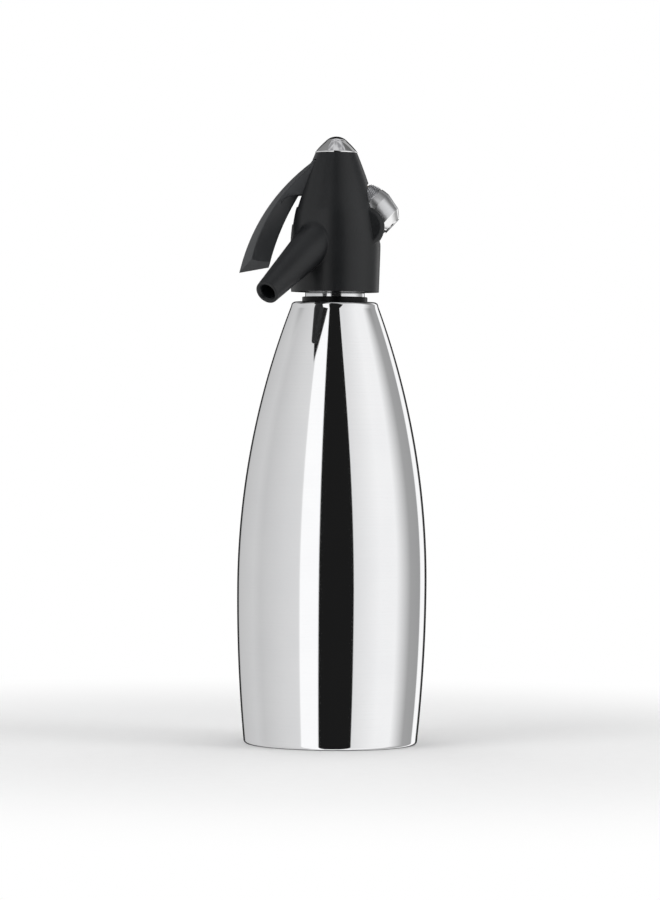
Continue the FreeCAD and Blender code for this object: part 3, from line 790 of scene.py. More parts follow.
@dataclass
class Bottle:
    """The steel bottle: barrel, base plate, neck collar and the ring round the neck."""

    belly: Pair = (49.35, 82.0)
    foot: Pair = (45.3, 2.0)
    foot_corner: float = 2.0
    shoulder: Pair = (22.7, 227.9)
    shoulder_corner: float = 2.2
    wall: float = 0.8
    plate_radius: float = 41.0
    plate_thickness: float = 1.2
    band_radius: float = 15.5
    band_top: float = 235.0
    bore: float = 12.0
    thread_radius: float = 14.0
    neck_top: float = 249.5
    flange_radius: float = 17.5
    flange_low: float = 228.1
    ring_radius: float = 17.0
    ring_top: float = 232.7

    def _curve(self, end: Pair) -> float:
        """Radius of the arc that leaves the belly upright and ends at a point."""
        return bow_radius(abs(end[1] - self.belly[1]), self.belly[0] - end[0])

    def build(self) -> None:
        """Make every piece of the bottle."""
        self._barrel()
        self._base()
        self._neck()

    def _barrel(self) -> None:
        """The thin-walled barrel, closed over its wall."""
        (belly, belly_z), (shoulder, shoulder_z) = self.belly, self.shoulder
        wall, foot, corner, curl = self.wall, self.foot[0], self.foot_corner, self.shoulder_corner
        top, under = shoulder_z + curl, shoulder_z - wall
        lower, upper = self._curve(self.foot), self._curve(self.shoulder)
        inner_top = belly - upper + math.sqrt((upper - wall) ** 2 - (under - belly_z) ** 2)
        inner_low = belly - lower + math.sqrt((lower - wall) ** 2 - (belly_z - corner) ** 2)
        made = Outline().to(self.plate_radius, 0.0).to(foot - corner, 0.0)
        made.arc(foot, corner, corner, 1, 10)
        made.arc(belly, belly_z, lower, 1, 40).arc(shoulder, shoulder_z, upper, 1, 90)
        made.arc(shoulder - curl, top, curl, 1, 10)
        made.to(self.band_radius, top).to(self.band_radius, top - wall)
        made.to(shoulder - curl, top - wall, 0.4).to(inner_top, under, 0.4)
        made.arc(belly - wall, belly_z, upper - wall, -1, 60)
        made.arc(inner_low, corner, lower - wall, -1, 30)
        made.to(foot - corner, wall, 0.4).to(self.plate_radius, wall)
        barrel = lathe("bottle_barrel", made.rounded(True), segments=256)
        dress(barrel, MIRROR, "bottle", ["bottle_shell"])

    def _base(self) -> None:
        """The pressed base plate with its two shallow rings."""
        radius, thick = self.plate_radius, self.plate_thickness
        made = Outline().to(0.0, 0.5)
        made.to(12.0, 0.5, 0.3).to(12.8, 0.0, 0.3).to(24.0, 0.0, 0.3).to(24.8, 0.5, 0.3)
        made.to(35.0, 0.5, 0.3).to(35.8, 0.0, 0.3).to(radius, 0.0, 0.2).to(radius, thick, 0.2)
        made.to(0.0, thick)
        base = lathe("bottle_base_plate", made.rounded(False), segments=192, closed=False)
        dress(base, INNER, "bottle", ["bottle_base"])

    def _neck(self) -> None:
        """The threaded neck and the black ring that hides its weld."""
        top = self.shoulder[1] + self.shoulder_corner
        bore, flange, band, wall = self.bore, self.flange_radius, self.band_radius, self.thread_radius
        made = Outline().to(bore, self.flange_low, 0.2).to(flange, self.flange_low, 0.2)
        made.to(flange, top - self.wall).to(band, top - self.wall).to(band, self.band_top, 0.35)
        made.to(wall, self.band_top).run(wall, self.neck_top - 0.6, 70)
        made.to(wall - 0.6, self.neck_top, 0.2).to(bore, self.neck_top, 0.3)
        thread = Thread(wall, 0.85, 2.0, self.band_top + 0.8, self.neck_top - 0.7)
        neck = lathe("neck_thread", made.rounded(True), segments=128, shape=thread.shape)
        dress(neck, NECK, "bottle", ["neck_collar"])
        ring = Outline().to(band, top, 0.1).to(self.ring_radius, top, 0.3)
        ring.to(self.ring_radius, self.ring_top, 0.5).to(band, self.ring_top, 0.1)
        # The ring wears the black plastic painted darker, as painted shade under the head.
        dress(lathe("neck_guard_ring", ring.rounded(True)), SHADED_BLACK, "bottle", ["neck_ring"])


# The head, with its spout, lever and inlet.


@dataclass
class Head:
    """The black head cover, its chrome dome and the parts screwed into its foot."""

    base: float = 235.3
    foot_radius: float = 22.9
    waist: Pair = (23.5, 257.3)
    cone: Pair = (21.4, 277.4)
    cone_bow: float = 256.0
    rim_radius: float = 10.9
    top: float = 307.6
    wall: float = 2.3
    rim_hole: float = 8.7
    dome_brow: Pair = (5.9, 5.9)
    dome_height: float = 8.6
    dome_side_curve: float = 37.0
    dome_wall: float = 1.0
    dome_skirt: float = 3.0
    insert_radius: float = 17.5
    insert_bore: float = 14.3
    insert_top: float = 251.6
    ring_height: float = 2.0

    def outside(self) -> list[Pair]:
        """The cover's outer side, as (radius, height) points from foot to rim."""
        curve = bow_radius(self.cone[1] - self.waist[1], self.waist[0] - self.cone[0])
        made = Outline().to(self.foot_radius, self.base).to(*self.waist)
        made.arc(*self.cone, curve, 1, 16).arc(self.rim_radius, self.top, self.cone_bow, 1, 30)
        return made.points

    def radius_at(self, height: float) -> float:
        """Outer radius of the cover at a height."""
        radii, heights = zip(*self.outside())
        return float(np.interp(height, heights, radii))

    def build(self) -> None:
        """Make every piece of the head but the valve, lever, spout and inlet."""
        dress(copy_node("head_housing", "head_cover"), BLACK, "head", ["head_housing"])
        self._dome()
        self._insert()

    def _dome(self) -> None:
        """The chrome dome with the skirt that snaps into the rim."""
        brow, top, wall = self.dome_brow, self.top, self.dome_wall
        crown = bow_radius(brow[0], self.dome_height - brow[1])
        skirt = self.rim_hole - 0.05
        made = Outline().to(0.0, top + self.dome_height - wall)
        made.to(brow[0] - wall / 2, top + brow[1] - wall).to(skirt - wall, top + wall)
        made.to(skirt - wall, top - self.dome_skirt).to(skirt, top - self.dome_skirt).to(skirt, top)
        made.to(self.rim_radius, top, 0.25).to(self.rim_radius + 0.02, top + 0.5)
        made.arc(brow[0], top + brow[1], self.dome_side_curve, 1, 20, 1.6)
        made.arc(0.0, top + self.dome_height, crown, 1, 20)
        dome = lathe("dome_chrome_cap", made.rounded(False, 8), closed=False, sharp=50.0)
        dress(dome, CHROME, "head", ["dome_cap"])

    def _insert(self) -> None:
        """The threaded insert that screws onto the neck, and the ring round its foot."""
        low, high, bore = self.base, self.insert_top, self.insert_bore
        made = Outline().to(bore + 0.5, low, 0.2).to(self.insert_radius, low, 0.3)
        made.to(self.insert_radius, high, 0.2).to(bore, high, 0.2).run(bore, low + 0.5, 80)
        thread = Thread(bore, 0.85, 2.0, low + 0.6, high - 0.6, outside=False)
        insert = lathe("insert_thread", made.rounded(True), segments=128, shape=thread.shape)
        dress(insert, BLACK, "head", ["threaded_insert"])
        inner, outer = self.insert_radius + 0.05, self.foot_radius - self.wall - 0.05
        ring = Outline().to(inner, low, 0.2).to(outer, low, 0.3).to(outer, low + self.ring_height, 0.2)
        ring.to(inner, low + self.ring_height, 0.2)
        dress(lathe("foot_ring", ring.rounded(True)), BLACK, "head", ["housing_ring"])


@dataclass
class Spout:
    """The spout: a slim cone that leaves the head towards the front and left."""

    axis: Axis = Axis((0.0, 0.0, 272.7), (-0.4716185, -0.6992032, -0.5372996))
    reach: float = 73.4
    bore: float = 4.0
    tip_radius: float = 6.3
    root_radius: float = 9.8
    taper_start: float = 29.4
    tenon_start: float = 15.5
    tenon_radius: float = 6.0
    tip_round: float = 0.8
    blend_sides: int = 96
    blend_steps: int = 8
    blend_least: float = 0.45
    blend_more: float = 2.0
    blend_fade: float = 1.5
    blend_foot: float = 0.3
    blend_sink: float = 0.06
    level_limit: float = 0.05

    def build(self, head: Head) -> None:
        """Make the spout, its tenon and the blend at its root.

        Args:
            head: The head cover that trims the root.
        """
        bore, start, tip, reach = self.bore, self.tenon_start, self.tip_radius, self.reach
        made = Outline().to(bore, start).to(self.root_radius, start)
        made.run(self.root_radius, self.taper_start, 4).run(tip, reach - self.tip_round, 12)
        made.to(tip - 0.1, reach, 0.8).to(bore + 0.9, reach, 0.35).to(bore, reach - 1.2, 0.6)
        cone = lathe("spout_cone", made.rounded(True, 6), self.axis, 128)
        solid = lathe("head_form_tool", [(0.0, head.base), *head.outside(), (0.0, head.top)],
                      segments=160, closed=False)
        dress(subtract(cone, solid), BLACK, "head", ["spout"])
        tenon = Outline().to(bore, start, 0.2).to(self.tenon_radius, start, 0.3)
        tenon.to(self.tenon_radius, self.taper_start).to(bore, self.taper_start)
        dress(lathe("spout_tenon", tenon.rounded(True), self.axis, 96), BLACK, "head")
        dress(self._root_blend(head), BLACK, "head")

    def _root_blend(self, head: Head) -> bpy.types.Object:
        """The moulded fillet that melts the spout's upper side into the head."""
        start, way = Vector(self.axis.start), Vector(self.axis.way).normalized()
        up = (Vector((0, 0, 1)) - way * way.z).normalized()
        side = way.cross(up)
        points: list[Vector] = []
        for number in range(self.blend_sides):
            turn = FULL_TURN * number / self.blend_sides
            out = up * math.cos(turn) + side * math.sin(turn)
            size = self.blend_least + self.blend_more * max(math.cos(turn), 0.0) ** self.blend_fade
            corner, reach = self._meet(head, start + out * self.root_radius, way)
            away = Vector((corner.x, corner.y, 0)).normalized()
            level = out.cross(away).length <= self.level_limit
            climb = up if level else (out - away * out.dot(away)).normalized()
            on_head = self._onto(head, corner + climb * size)
            on_spout = start + out * self.root_radius + way * (reach + size)
            points.append(corner - away * self.blend_foot - out * self.blend_foot)
            for step in range(self.blend_steps + 1):
                share = step / self.blend_steps
                sink = away * self.blend_sink * (1 - share) ** 3 + out * self.blend_sink * share ** 3
                points.append(bend(on_head, corner, on_spout, share) - sink)
        faces = ring_faces(self.blend_sides, self.blend_steps + 2, closed=True)
        return finish_mesh("spout_root_blend", points, faces, sharp=60.0)

    @staticmethod
    def _meet(head: Head, start: Vector, way: Vector) -> tuple[Vector, float]:
        """Find where a line that starts inside the head leaves its outer side.

        Args:
            head: The head cover.
            start: Where the line starts.
            way: Its direction.

        Returns:
            The point, and how far along the line it lies.
        """
        low, high = 0.0, LINE_REACH
        for _ in range(HALVINGS):
            middle = (low + high) / 2
            point = start + way * middle
            if math.hypot(point.x, point.y) < head.radius_at(point.z):
                low = middle
            else:
                high = middle
        return start + way * low, low

    @staticmethod
    def _onto(head: Head, point: Vector) -> Vector:
        """The point of the head's outer side beside a point."""
        radius = head.radius_at(point.z)
        return Vector((point.x, point.y, 0)).normalized() * radius + Vector((0, 0, point.z))


@dataclass
class Lever:
    """The lever: a ridged, bowed grip outside the head and a flat arm on the pivot inside it."""

    top: Pair = (-12.5, 303.0)
    tip: Pair = (-49.6, 246.9)
    back_bow: float = 5.9
    edge_depth: float = 2.8
    edge_half: float = 6.5
    inner_half: float = 3.2
    inner_top: Pair = (-17.6, 288.2)
    inner_low: Pair = (-34.6, 247.6)
    inner_bow: float = 1.9
    edge_growth: float = 2.2
    scoop: float = 0.5
    end_pull: float = 6.2
    end_start: float = 0.82
    tip_reach: float = 2.3
    corner_steps: int = 6
    sections: int = 48
    way_step: float = 0.02
    root_inset: float = 2.6
    root_half: float = 6.2
    root_shares: tuple[float, ...] = (0.06, 0.12, 0.2, 0.3, 0.38)
    notch: tuple[Pair, ...] = ((-28.3, 280.6), (-27.6, 282.2), (-26.3, 283.5), (-24.2, 284.6),
                               (-20.0, 285.2))
    pivot: Pair = (8.0, 297.0)
    hub_radius: float = 3.2
    pin_hole: float = 1.56
    pad_height: float = 292.8
    arm_half: float = 3.7

    def build(self) -> None:
        """Make the grip, its root in the slot and the arm."""
        # The lever's pieces wear the black plastic painted lighter, as painted light.
        dress(self._grip(), LIT_BLACK, "lever", ["lever"])
        dress(self._root(), LIT_BLACK, "lever")
        dress(self._arm(), LIT_BLACK, "lever")

    @staticmethod
    def _bowed(start: Pair, end: Pair, bow: float, share: float) -> np.ndarray:
        """Find a point on a bowed line.

        Args:
            start: Where the line starts.
            end: Where it ends.
            bow: How far its middle stands out.
            share: How far along the point lies, from 0 to 1.

        Returns:
            The point (x, z).
        """
        first, chord = np.array(start), np.array(end) - np.array(start)
        side = np.array((chord[1], -chord[0])) / np.hypot(*chord)
        return first + chord * share + side * (4 * bow * share * (1 - share))

    def _back(self, share: float) -> np.ndarray:
        """A point of the ridge."""
        return self._bowed(self.top, self.tip, self.back_bow, share)

    def _front(self, share: float) -> np.ndarray:
        """A point of the side that faces the head."""
        return self._bowed(self.inner_top, self.inner_low, self.inner_bow, share)

    def _section(self, share: float) -> list[Triple]:
        """The six-sided section a share of the way down, with its corners rounded.

        Args:
            share: 0 at the top of the grip and 1 at its tip.

        Returns:
            Points in order, from beside the ridge and round by the +Y edge.
        """
        back, front = self._back(share), self._front(share)
        depth = float(np.hypot(*(front - back)))
        across = (front - back) / depth
        way = self._back(min(share + self.way_step, 1.0)) - self._back(max(share - self.way_step, 0.0))
        way = way / np.hypot(*way)
        edge = self.edge_depth + self.edge_growth * share ** 3
        scoop = (self.edge_half + self.inner_half) / 2 - self.scoop
        made = Outline().to(0.0, 0.0, 0.9).to(self.edge_half, edge, 0.7)
        made.to(scoop, (edge + depth) / 2).to(self.inner_half, depth, 0.8).to(0.0, depth)
        made.to(-self.inner_half, depth, 0.8).to(-scoop, (edge + depth) / 2)
        made.to(-self.edge_half, edge, 0.7)
        near_end = max((share - self.end_start) / (1 - self.end_start), 0.0) ** 2
        points = []
        for y, deep in made.rounded(True, self.corner_steps):
            shift = self.tip_reach * (1 - deep / depth) - self.end_pull * abs(y) / self.edge_half
            here = back + across * deep + way * shift * near_end
            points.append((float(here[0]), y, float(here[1])))
        return points

    def _grip(self) -> bpy.types.Object:
        """The grip as a loft of its sections, with the V-shaped end."""
        rows = [self._section(number / self.sections) for number in range(self.sections + 1)]
        count = len(rows[0])
        ridge, front = self.corner_steps // 2, 3 * (self.corner_steps + 1) + 1
        points = [point for row in rows for point in row]
        faces = [tuple(range(count)), *ring_faces(len(rows), count)]
        last = self.sections * count
        for first, stop in ((ridge, front), (front, ridge + count)):
            faces.append(tuple(last + number % count for number in range(first, stop + 1)))
        return finish_mesh("lever_grip", points, faces, sharp=28.0)

    def _root(self) -> bpy.types.Object:
        """The broad root that fills the cover's slot, with the rounded notch under it."""
        made = Outline().to(-9.5, 303.7, 0.4).to(-12.3, 303.5, 0.6)
        for share in self.root_shares:
            back, front = self._back(share), self._front(share)
            here = back + (front - back) / np.hypot(*(front - back)) * self.root_inset
            made.to(float(here[0]), float(here[1]))
        for corner in self.notch:
            made.to(*corner)
        made.to(-9.5, 286.4, 1.0)
        return plate("lever_root", made.rounded(True), [], self.root_half, 0.5)

    def _arm(self) -> bpy.types.Object:
        """The arm that reaches over the spindle to the pivot."""
        (x, z), hub = self.pivot, self.hub_radius
        made = Outline().to(self.top[0] - 4.5, self.top[1] - 5.0)
        made.to(self.inner_top[0] - 2.4, self.inner_top[1] - 1.5).to(-6.6, self.pad_height + 1.6, 1.5)
        made.to(-0.8, self.pad_height, 0.6).to(0.8, self.pad_height, 0.6)
        made.to(x, z - hub).arc(x + hub, z, hub, 1, 10).arc(x, z + hub, hub, 1, 10)
        return plate("lever_arm", made.rounded(True), [(x, z, self.pin_hole)], self.arm_half, 0.4)


@dataclass
class Inlet:
    """The charging inlet: a threaded nipple under a knurled and turned metal cap."""

    axis: Axis = Axis((9.87, 0.0, 288.25), INLET_WAY)
    nipple_root: Pair = (4.1, 2.6)
    nipple_radius: float = 6.4
    nipple_end: float = 20.6
    nipple_bore: float = 4.8
    sleeve_radius: float = 2.65
    sleeve_height: float = 1.5
    pierce_radius: float = 1.2
    filter_low: float = 4.6
    cap_bore: float = 6.8
    cap_low: float = 3.4
    mouth_radius: float = 7.4
    bevel: Pair = (8.775, 5.2)
    seam: Pair = (9.9, 9.4)
    lip_radius: float = 10.1
    widest: Pair = (10.6, 14.3)
    shoulder: Pair = (8.7, 22.8)
    end: Pair = (5.1, 27.0)
    body_curve: float = 36.0
    groove: float = 0.5
    knurl_depth: float = 0.35
    hollow_end: float = 22.3

    def build(self) -> None:
        """Make the nipple, the grip ring with its knurl and the cap."""
        self._nipple()
        self._grip_ring()
        self._cap()

    def _nipple(self) -> None:
        """The brass nipple with its outside thread."""
        (root, low), wall, end = self.nipple_root, self.nipple_radius, self.nipple_end
        bore, sleeve, pierce = self.nipple_bore, self.sleeve_radius, self.pierce_radius
        made = Outline().to(sleeve, 0.0, 0.1).to(root, 0.0, 0.2).to(root, low)
        made.to(wall - 0.4, low, 0.2).to(wall, low + 0.4).run(wall, end - 0.5, 90)
        made.to(wall - 0.5, end, 0.2).to(bore, end, 0.3).to(bore, self.filter_low)
        made.to(pierce, self.filter_low).to(pierce, self.sleeve_height).to(sleeve, self.sleeve_height)
        thread = Thread(wall, 0.55, 1.4, low + 0.8, end - 0.8)
        nipple = lathe("inlet_thread", made.rounded(True), self.axis, 96, shape=thread.shape)
        dress(nipple, BRASS, "head", ["inlet_nipple"])

    def _grip_ring(self) -> None:
        """The ring round the cap's mouth, with raised points made by Geometry Nodes."""
        (bevel, bevel_z), (seam, seam_z) = self.bevel, self.seam
        mouth, low, sunk = self.mouth_radius, self.cap_low, self.knurl_depth
        made = Outline().to(self.cap_bore, low + 0.3).to(mouth - 0.2, low, 0.2)
        made.to(bevel - sunk, bevel_z, 0.8).to(seam - sunk, seam_z - 0.5, 0.1)
        made.to(seam, seam_z - 0.4, 0.1).to(seam, seam_z, 0.1).to(self.cap_bore, seam_z)
        ring = lathe("cap_grip_core", made.rounded(True), self.axis, 128)
        dress(ring, KNURLED, "cap", ["cap_grip_ring"])
        band = [(mouth + 0.15, low + 0.5), (bevel - sunk, bevel_z + 0.1), (seam - sunk, seam_z - 0.7)]
        dress(Knurl().build("cap_knurl", self.axis, band), KNURLED, "cap")

    def _cap(self) -> None:
        """The turned cap with its seam, crown and flat end."""
        bore, cut, hollow = self.cap_bore, self.groove, self.hollow_end
        (seam, seam_z), (end, end_z) = self.seam, self.end
        made = Outline().to(bore, seam_z, 0.1).to(seam - cut, seam_z, 0.05)
        made.to(seam - cut, seam_z + cut, 0.05).to(self.lip_radius, seam_z + cut, 0.2)
        made.arc(*self.widest, self.body_curve, 1, 10).to(*self.shoulder, 1.2)
        made.to(end + 0.7, end_z - 0.8, 0.05).to(end - 0.3, end_z - 0.8, 0.05)
        made.to(end - 0.3, end_z - 0.3, 0.05).to(end, end_z - 0.3, 0.1).to(end, end_z, 0.2)
        made.to(0.0, end_z).to(0.0, hollow).to(bore, hollow, 0.4).run(bore, seam_z + 0.3, 70)
        thread = Thread(bore, 0.5, 1.4, seam_z + 0.5, hollow - 2.6, outside=False)
        cap = lathe("cap_body", made.rounded(True), self.axis, 128, shape=thread.shape)
        dress(cap, SATIN, "cap", ["inlet_cap"])


@dataclass
class Knurl:
    """Raised points in staggered rows, set on a turned band."""

    rows: int = 5
    count: int = 44
    size: float = 0.62
    height_share: float = 0.62
    top_size: float = 0.18
    sides: int = 4
    sample: float = 0.2
    carrier_size: float = 0.1

    def build(self, name: str, axis: Axis, band: Sequence[Pair]) -> bpy.types.Object:
        """Make the points as one plain mesh.

        Args:
            name: The object's name.
            axis: The line that the band stands on.
            band: The band's line of (radius, height) corners.

        Returns:
            The object.
        """
        carrier = self._carrier(name + "_carrier", band)
        modifier = carrier.modifiers.new("knurl", "NODES")
        modifier.node_group, sockets = self._tree()
        modifier[sockets["Point Size"]] = self.size * MM
        modifier[sockets["Point Height"]] = self.height_share * self.size * MM
        modifier[sockets["Finish"]] = KNURLED.material()
        mesh = final_mesh(carrier)
        mesh.name = name
        bpy.data.objects.remove(carrier)
        place = axis.matrix()
        place.translation = place.translation * MM
        mesh.transform(place)
        smooth(mesh, 20.0)
        return new_object(name, mesh)

    def _carrier(self, name: str, band: Sequence[Pair]) -> bpy.types.Object:
        """Make loose triangles, one for each point, that face out of the band.

        Args:
            name: The object's name.
            band: The band's line of (radius, height) corners.

        Returns:
            The object that the Geometry Nodes work on.
        """
        steps = [math.hypot(b[0] - a[0], b[1] - a[1]) for a, b in zip(band, band[1:])]
        lengths = np.concatenate(([0.0], np.cumsum(steps)))
        radii, heights = np.array(band).T
        points, faces = [], []
        for row in range(self.rows):
            at = lengths[-1] * (row + 0.5) / self.rows
            radius, height = np.interp(at, lengths, radii), np.interp(at, lengths, heights)
            before, after = max(at - self.sample, 0.0), min(at + self.sample, lengths[-1])
            rise = np.interp(after, lengths, heights) - np.interp(before, lengths, heights)
            swell = np.interp(after, lengths, radii) - np.interp(before, lengths, radii)
            for number in range(self.count):
                turn = FULL_TURN * (number + 0.5 * (row % 2)) / self.count
                out = Vector((math.cos(turn), math.sin(turn), 0))
                tangent = Vector((-math.sin(turn), math.cos(turn), 0))
                climb = (out * swell + Vector((0, 0, rise))).normalized()
                centre = (out * radius + Vector((0, 0, height))) * MM
                first = len(points)
                for angle in turns(3):
                    side = tangent * math.cos(angle) + climb * math.sin(angle)
                    points.append(centre + side * self.carrier_size * MM)
                faces.append((first, first + 1, first + 2))
        mesh = bpy.data.meshes.new(name)
        mesh.from_pydata(points, [], faces)
        return new_object(name, mesh)

    def _tree(self) -> tuple[bpy.types.NodeTree, dict[str, str]]:
        """The node tree that sets a four-sided point on every face.

        Returns:
            The tree, and the identifiers of its inputs by name.
        """
        group = bpy.data.node_groups.new("KnurlPoints", "GeometryNodeTree")
        sockets = {}
        for name, kind in (("Geometry", "Geometry"), ("Point Size", "Float"), ("Point Height", "Float"),
                           ("Finish", "Material")):
            made = group.interface.new_socket(name, in_out="INPUT", socket_type="NodeSocket" + kind)
            sockets[name] = made.identifier
        group.interface.new_socket("Geometry", in_out="OUTPUT", socket_type="NodeSocketGeometry")
        tree = NodeMaker(group)
        entry = tree.node("NodeGroupInput")
        carrier, size, height, finish = (Value(tree, entry.outputs[name]) for name in sockets)
        normal = tree.value("GeometryNodeInputNormal")
        capture = tree.node("GeometryNodeCaptureAttribute",
                            {"domain": "FACE", "capture": ("VECTOR", "Out")},
                            {"Geometry": carrier, 1: normal})
        faces, way = (Value(tree, capture.outputs[number]) for number in range(2))
        points = tree.value("GeometryNodeMeshToPoints", 0, {"mode": "FACES"}, {"Mesh": faces})
        turn = tree.value("FunctionNodeAlignEulerToVector", 0, {"axis": "Z"}, {"Vector": way})
        cone = tree.value("GeometryNodeMeshCone", "Mesh", {"fill_type": "NGON"}, {
            "Vertices": self.sides, "Radius Top": self.top_size * MM, "Radius Bottom": size,
            "Depth": height})
        placed = tree.value("GeometryNodeInstanceOnPoints", 0, None,
                            {"Points": points, "Instance": cone, "Rotation": turn})
        plain = tree.value("GeometryNodeRealizeInstances", 0, None, {"Geometry": placed})
        painted = tree.value("GeometryNodeSetMaterial", 0, None, {"Geometry": plain, "Material": finish})
        tree.node("NodeGroupOutput", None, {"Geometry": painted})
        return group, sockets


class InnerPart(Enum):
    """Finishes of the CAD nodes inside the head and bottle that keep their own shape, with the nodes."""

    SEAL = (RUBBER, ("head_gasket", "spindle_o_ring", "valve_seal", "riser_gasket", "spout_gasket",
                     "inlet_sleeve_valve", "charger_seal", "cap_seal"))
    PLASTIC = (WHITE, ("valve_body", "riser_tube", "riser_nut"))
    STEEL = (INNER, ("valve_spindle", "lever_pin", "piercing_pin", "gas_tube"))
    SINTERED = (BRASS, ("gas_filter",))


# The studio.


@dataclass
class Studio:
    """Camera, floor, lamps and the ring of cards that the polished steel mirrors."""

    distance: float = 2.045
    camera_height: float = 0.180
    aim: Pair = (-0.0017, 0.153)
    lens: float = 157.0
    roll: float = 0.6
    ring_radius: float = 1.6
    ring_low: float = -6.0
    ring_high: float = 3.4
    streak_turn: float = -41.0
    streak_half: float = 8.6
    streak_low: float = 1.14
    streak_high: float = 1.34
    streak_stop: float = 1.75
    card_gain: float = 1.05
    streak_fade: float = 0.15
    band_left: float = -16.0
    band_right: float = 26.5
    band_lean: float = 0.05
    band_low: float = -0.5
    darkening: float = 0.985
    shade_top: float = 1.75
    shade_drop: float = 0.95
    shade_height: float = 0.45
    shade_depth: float = 0.6
    side_angle: float = 60.0
    back_angle: float = 110.0
    floor_radius: float = 8.0
    floor_clear: Pair = (0.16, 0.5)
    lamps: tuple[tuple[str, Triple, float, float], ...] = (
        ("lamp_left", (-1.1, -1.0, 1.3), 0.9, 9.0), ("lamp_right", (1.3, -0.5, 0.9), 0.7, 6.0),
        ("lamp_top", (0.0, 0.2, 1.6), 1.2, 9.0))
    cards: tuple[Pair, ...] = (
        (-180, 0.03), (-156, 0.03), (-153.5, 0.5), (-148, 0.53), (-110, 0.6), (-95, 0.56),
        (-60, 0.66), (-39.5, 0.7), (-38.5, 1.0), (-16, 1.0), (-15, 0.72), (26, 0.74),
        (60, 0.9), (84, 0.9), (95, 0.66), (110, 0.36), (134, 0.33), (136, 0.97), (151.5, 0.97),
        (154, 0.03), (180, 0.03))

    def build(self) -> None:
        """Set up the camera, the stage and the light."""
        self._camera()
        self._floor()
        self._cards()
        self._lamps()
        self._world()
        bpy.context.scene.view_settings.view_transform = "Standard"

    def _camera(self) -> None:
        """The camera at the photograph's place."""
        data = bpy.data.cameras.new("camera")
        data.lens, data.sensor_width, data.sensor_fit = self.lens, 36.0, "AUTO"
        data.clip_end = 50.0
        camera = new_object("camera", data)
        place = Vector((self.aim[0], -self.distance, self.camera_height))
        look = Vector((self.aim[0], 0.0, self.aim[1])) - place
        roll = Matrix.Rotation(math.radians(self.roll), 3, "Z")
        turn = look.to_track_quat("-Z", "Y").to_matrix() @ roll
        camera.matrix_world = Matrix.Translation(place) @ turn.to_4x4()
        bpy.context.scene.camera = camera

    @staticmethod
    def _staged(name: str, points: Sequence[Triple], faces: Sequence[tuple[int, ...]],
                paint: Callable[[NodeMaker], Value]) -> bpy.types.Object:
        """Make one piece of the stage.

        Args:
            name: The object's name.
            points: Points in metres.
            faces: Corner numbers of each face.
            paint: Builds its shader.

        Returns:
            The object.
        """
        mesh = bpy.data.meshes.new(name)
        mesh.from_pydata(points, [], faces)
        mesh.materials.append(surface(name + "_paint", paint))
        return new_object(name, mesh)

    def _floor(self) -> None:
        """A pale floor that keeps the shadow and fades into the white background."""
        rim = [(self.floor_radius * math.cos(a), self.floor_radius * math.sin(a), 0.0)
               for a in turns(FLOOR_SIDES)]
        floor = self._staged("floor", rim, [tuple(range(FLOOR_SIDES))], self._floor_paint)
        floor.visible_glossy = False

    def _floor_paint(self, tree: NodeMaker) -> Value:
        """Build pale paint near the object and plain white far from it.

        Args:
            tree: Where the nodes go.

        Returns:
            The shader.
        """
        point = tree.object_point()
        distance = tree.value("ShaderNodeVectorMath", "Value", {"operation": "LENGTH"}, {0: point})
        speckle = tree.noise(point, 120.0)
        paint = tree.value("ShaderNodeBsdfPrincipled", 0, None, {
            "Base Color": tree.blend(speckle, (0.86, 0.86, 0.86), (0.89, 0.89, 0.89)), "Roughness": 0.7})
        white = tree.value("ShaderNodeEmission", 0, None, {"Color": (1, 1, 1, 1), "Strength": 1.0})
        share = distance.between(*self.floor_clear) * tree.value("ShaderNodeLightPath", "Is Camera Ray")
        return tree.value("ShaderNodeMixShader", 0, None, {0: share, 1: paint, 2: white})

    def _cards(self) -> None:
        """The ring of grey and white cards and its lid, which only reflections see."""
        ring = [(self.ring_radius * math.cos(a), self.ring_radius * math.sin(a), z)
                for z in (self.ring_low, self.ring_high) for a in turns(CARD_SIDES)]
        for name, points, faces, paint in (
                ("cards", ring, ring_faces(2, CARD_SIDES), self._card_paint),
                ("card_lid", ring[CARD_SIDES:], [tuple(range(CARD_SIDES))], self._lid_paint)):
            card = self._staged(name, points, faces, paint)
            card.visible_camera = card.visible_diffuse = card.visible_shadow = False
            card.visible_transmission = card.visible_volume_scatter = False

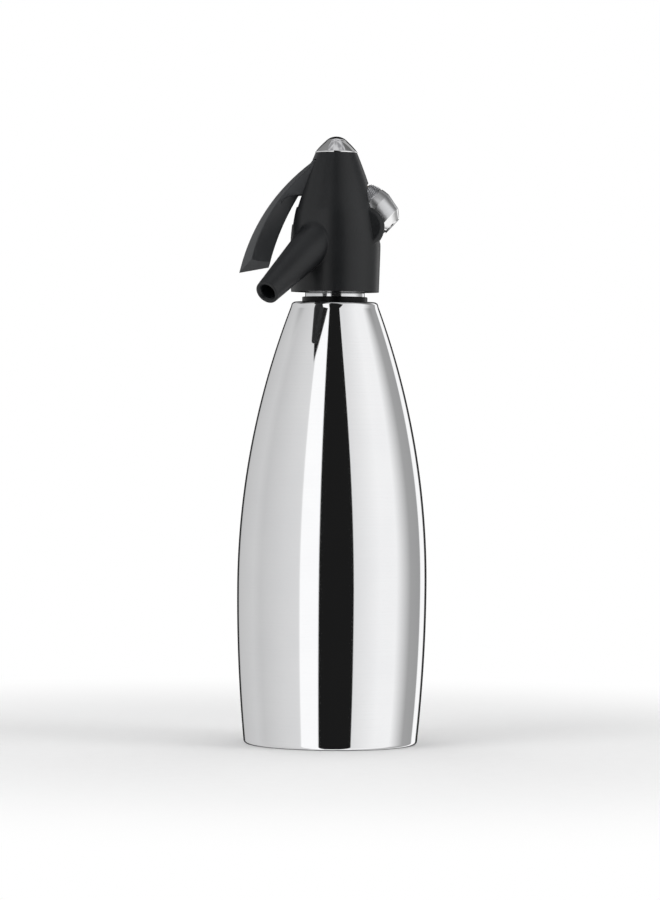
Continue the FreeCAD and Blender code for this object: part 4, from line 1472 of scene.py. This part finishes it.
    def _card_paint(self, tree: NodeMaker) -> Value:
        """Build a level of grey for each direction round the object.

        The cards give the level by turn. Over it lie a wedge, the streak, and a dark band. The light
        falls off towards the top, and sooner behind the object.

        Args:
            tree: Where the nodes go.

        Returns:
            The shader.
        """
        split = tree.node("ShaderNodeSeparateXYZ", None, {0: tree.object_point()})
        x, y, z = (Value(tree, split.outputs[number]) for number in range(3))
        angle = x.angle_from(y * -1.0)
        stops = [(stop / 360 + 0.5, level) for stop, level in self.cards]
        level = tree.value("ShaderNodeValToRGB", 0, {"stops": stops}, {0: angle / FULL_TURN + 0.5})
        behind = angle.size().between(math.radians(self.side_angle), math.radians(self.back_angle))
        above = z - (self.shade_top - behind * self.shade_drop)
        shaded = 1.0 - above.between(0.0, self.shade_height) * self.shade_depth
        aside = (angle - math.radians(self.streak_turn)).size()
        narrow = (z - self.streak_low) / (self.streak_high - self.streak_low)
        streak = (narrow * math.radians(self.streak_half) - aside).between(0.0, 0.02)
        streak = streak * (1.0 - (z - self.streak_stop).between(0.0, self.streak_fade))
        rise = (z - self.band_low).largest(0.0)
        lean = angle + rise * rise * self.band_lean
        band = 1.0 - (lean - math.radians(self.band_right)).between(0.0, 0.015)
        band = band * (angle - math.radians(self.band_left)).between(0.0, 0.02)
        bright = (1.0 - streak * self.darkening) * (1.0 - band * self.darkening)
        return tree.value("ShaderNodeEmission", 0, None,
                          {"Color": level, "Strength": bright * shaded * self.card_gain})

    @staticmethod
    def _lid_paint(tree: NodeMaker) -> Value:
        """An even grey with a darker patch over the object."""
        patch = tree.noise(tree.object_point(), 1.4, 1.0).between(0.35, 0.65)
        return tree.value("ShaderNodeEmission", 0, None, {
            "Color": tree.blend(patch, (0.3, 0.3, 0.31), (0.62, 0.62, 0.63)), "Strength": 1.0})

    def _lamps(self) -> None:
        """Three soft boxes, at the left, at the right and above."""
        for name, place, size, power in self.lamps:
            data = bpy.data.lights.new(name, "AREA")
            data.size, data.energy = size, power
            lamp = new_object(name, data)
            lamp.location = place
            look = Vector((0.0, 0.0, 0.15)) - Vector(place)
            lamp.rotation_euler = look.to_track_quat("-Z", "Y").to_euler()
            lamp.visible_camera = lamp.visible_glossy = False

    @staticmethod
    def _world() -> None:
        """White to the camera and to reflections, and a plain level of fill elsewhere."""
        world = bpy.data.worlds.new("white_room")
        bpy.context.scene.world = world
        world.use_nodes = True
        tree = NodeMaker(world.node_tree)
        path = tree.node("ShaderNodeLightPath")
        seen = Value(tree, path.outputs["Is Camera Ray"])
        for name in ("Is Glossy Ray", "Is Transmission Ray"):
            seen = seen.largest(Value(tree, path.outputs[name]))
        ground = tree.value("ShaderNodeBackground", 0, None,
                            {"Color": (1, 1, 1, 1), "Strength": seen * 0.5 + 0.5})
        tree.node("ShaderNodeOutputWorld", None, {"Surface": ground})


def main() -> None:
    """Build the siphon and its studio."""
    logging.basicConfig(level=logging.INFO, format="%(name)s %(message)s")
    Studio().build()
    Bottle().build()
    head = Head()
    head.build()
    Spout().build(head)
    Lever().build()
    Inlet().build()
    for part in InnerPart:
        finish, names = part.value
        for name in names:
            keep_node(name, finish)
    blend_spring()


if __name__ == "__main__":
    main()
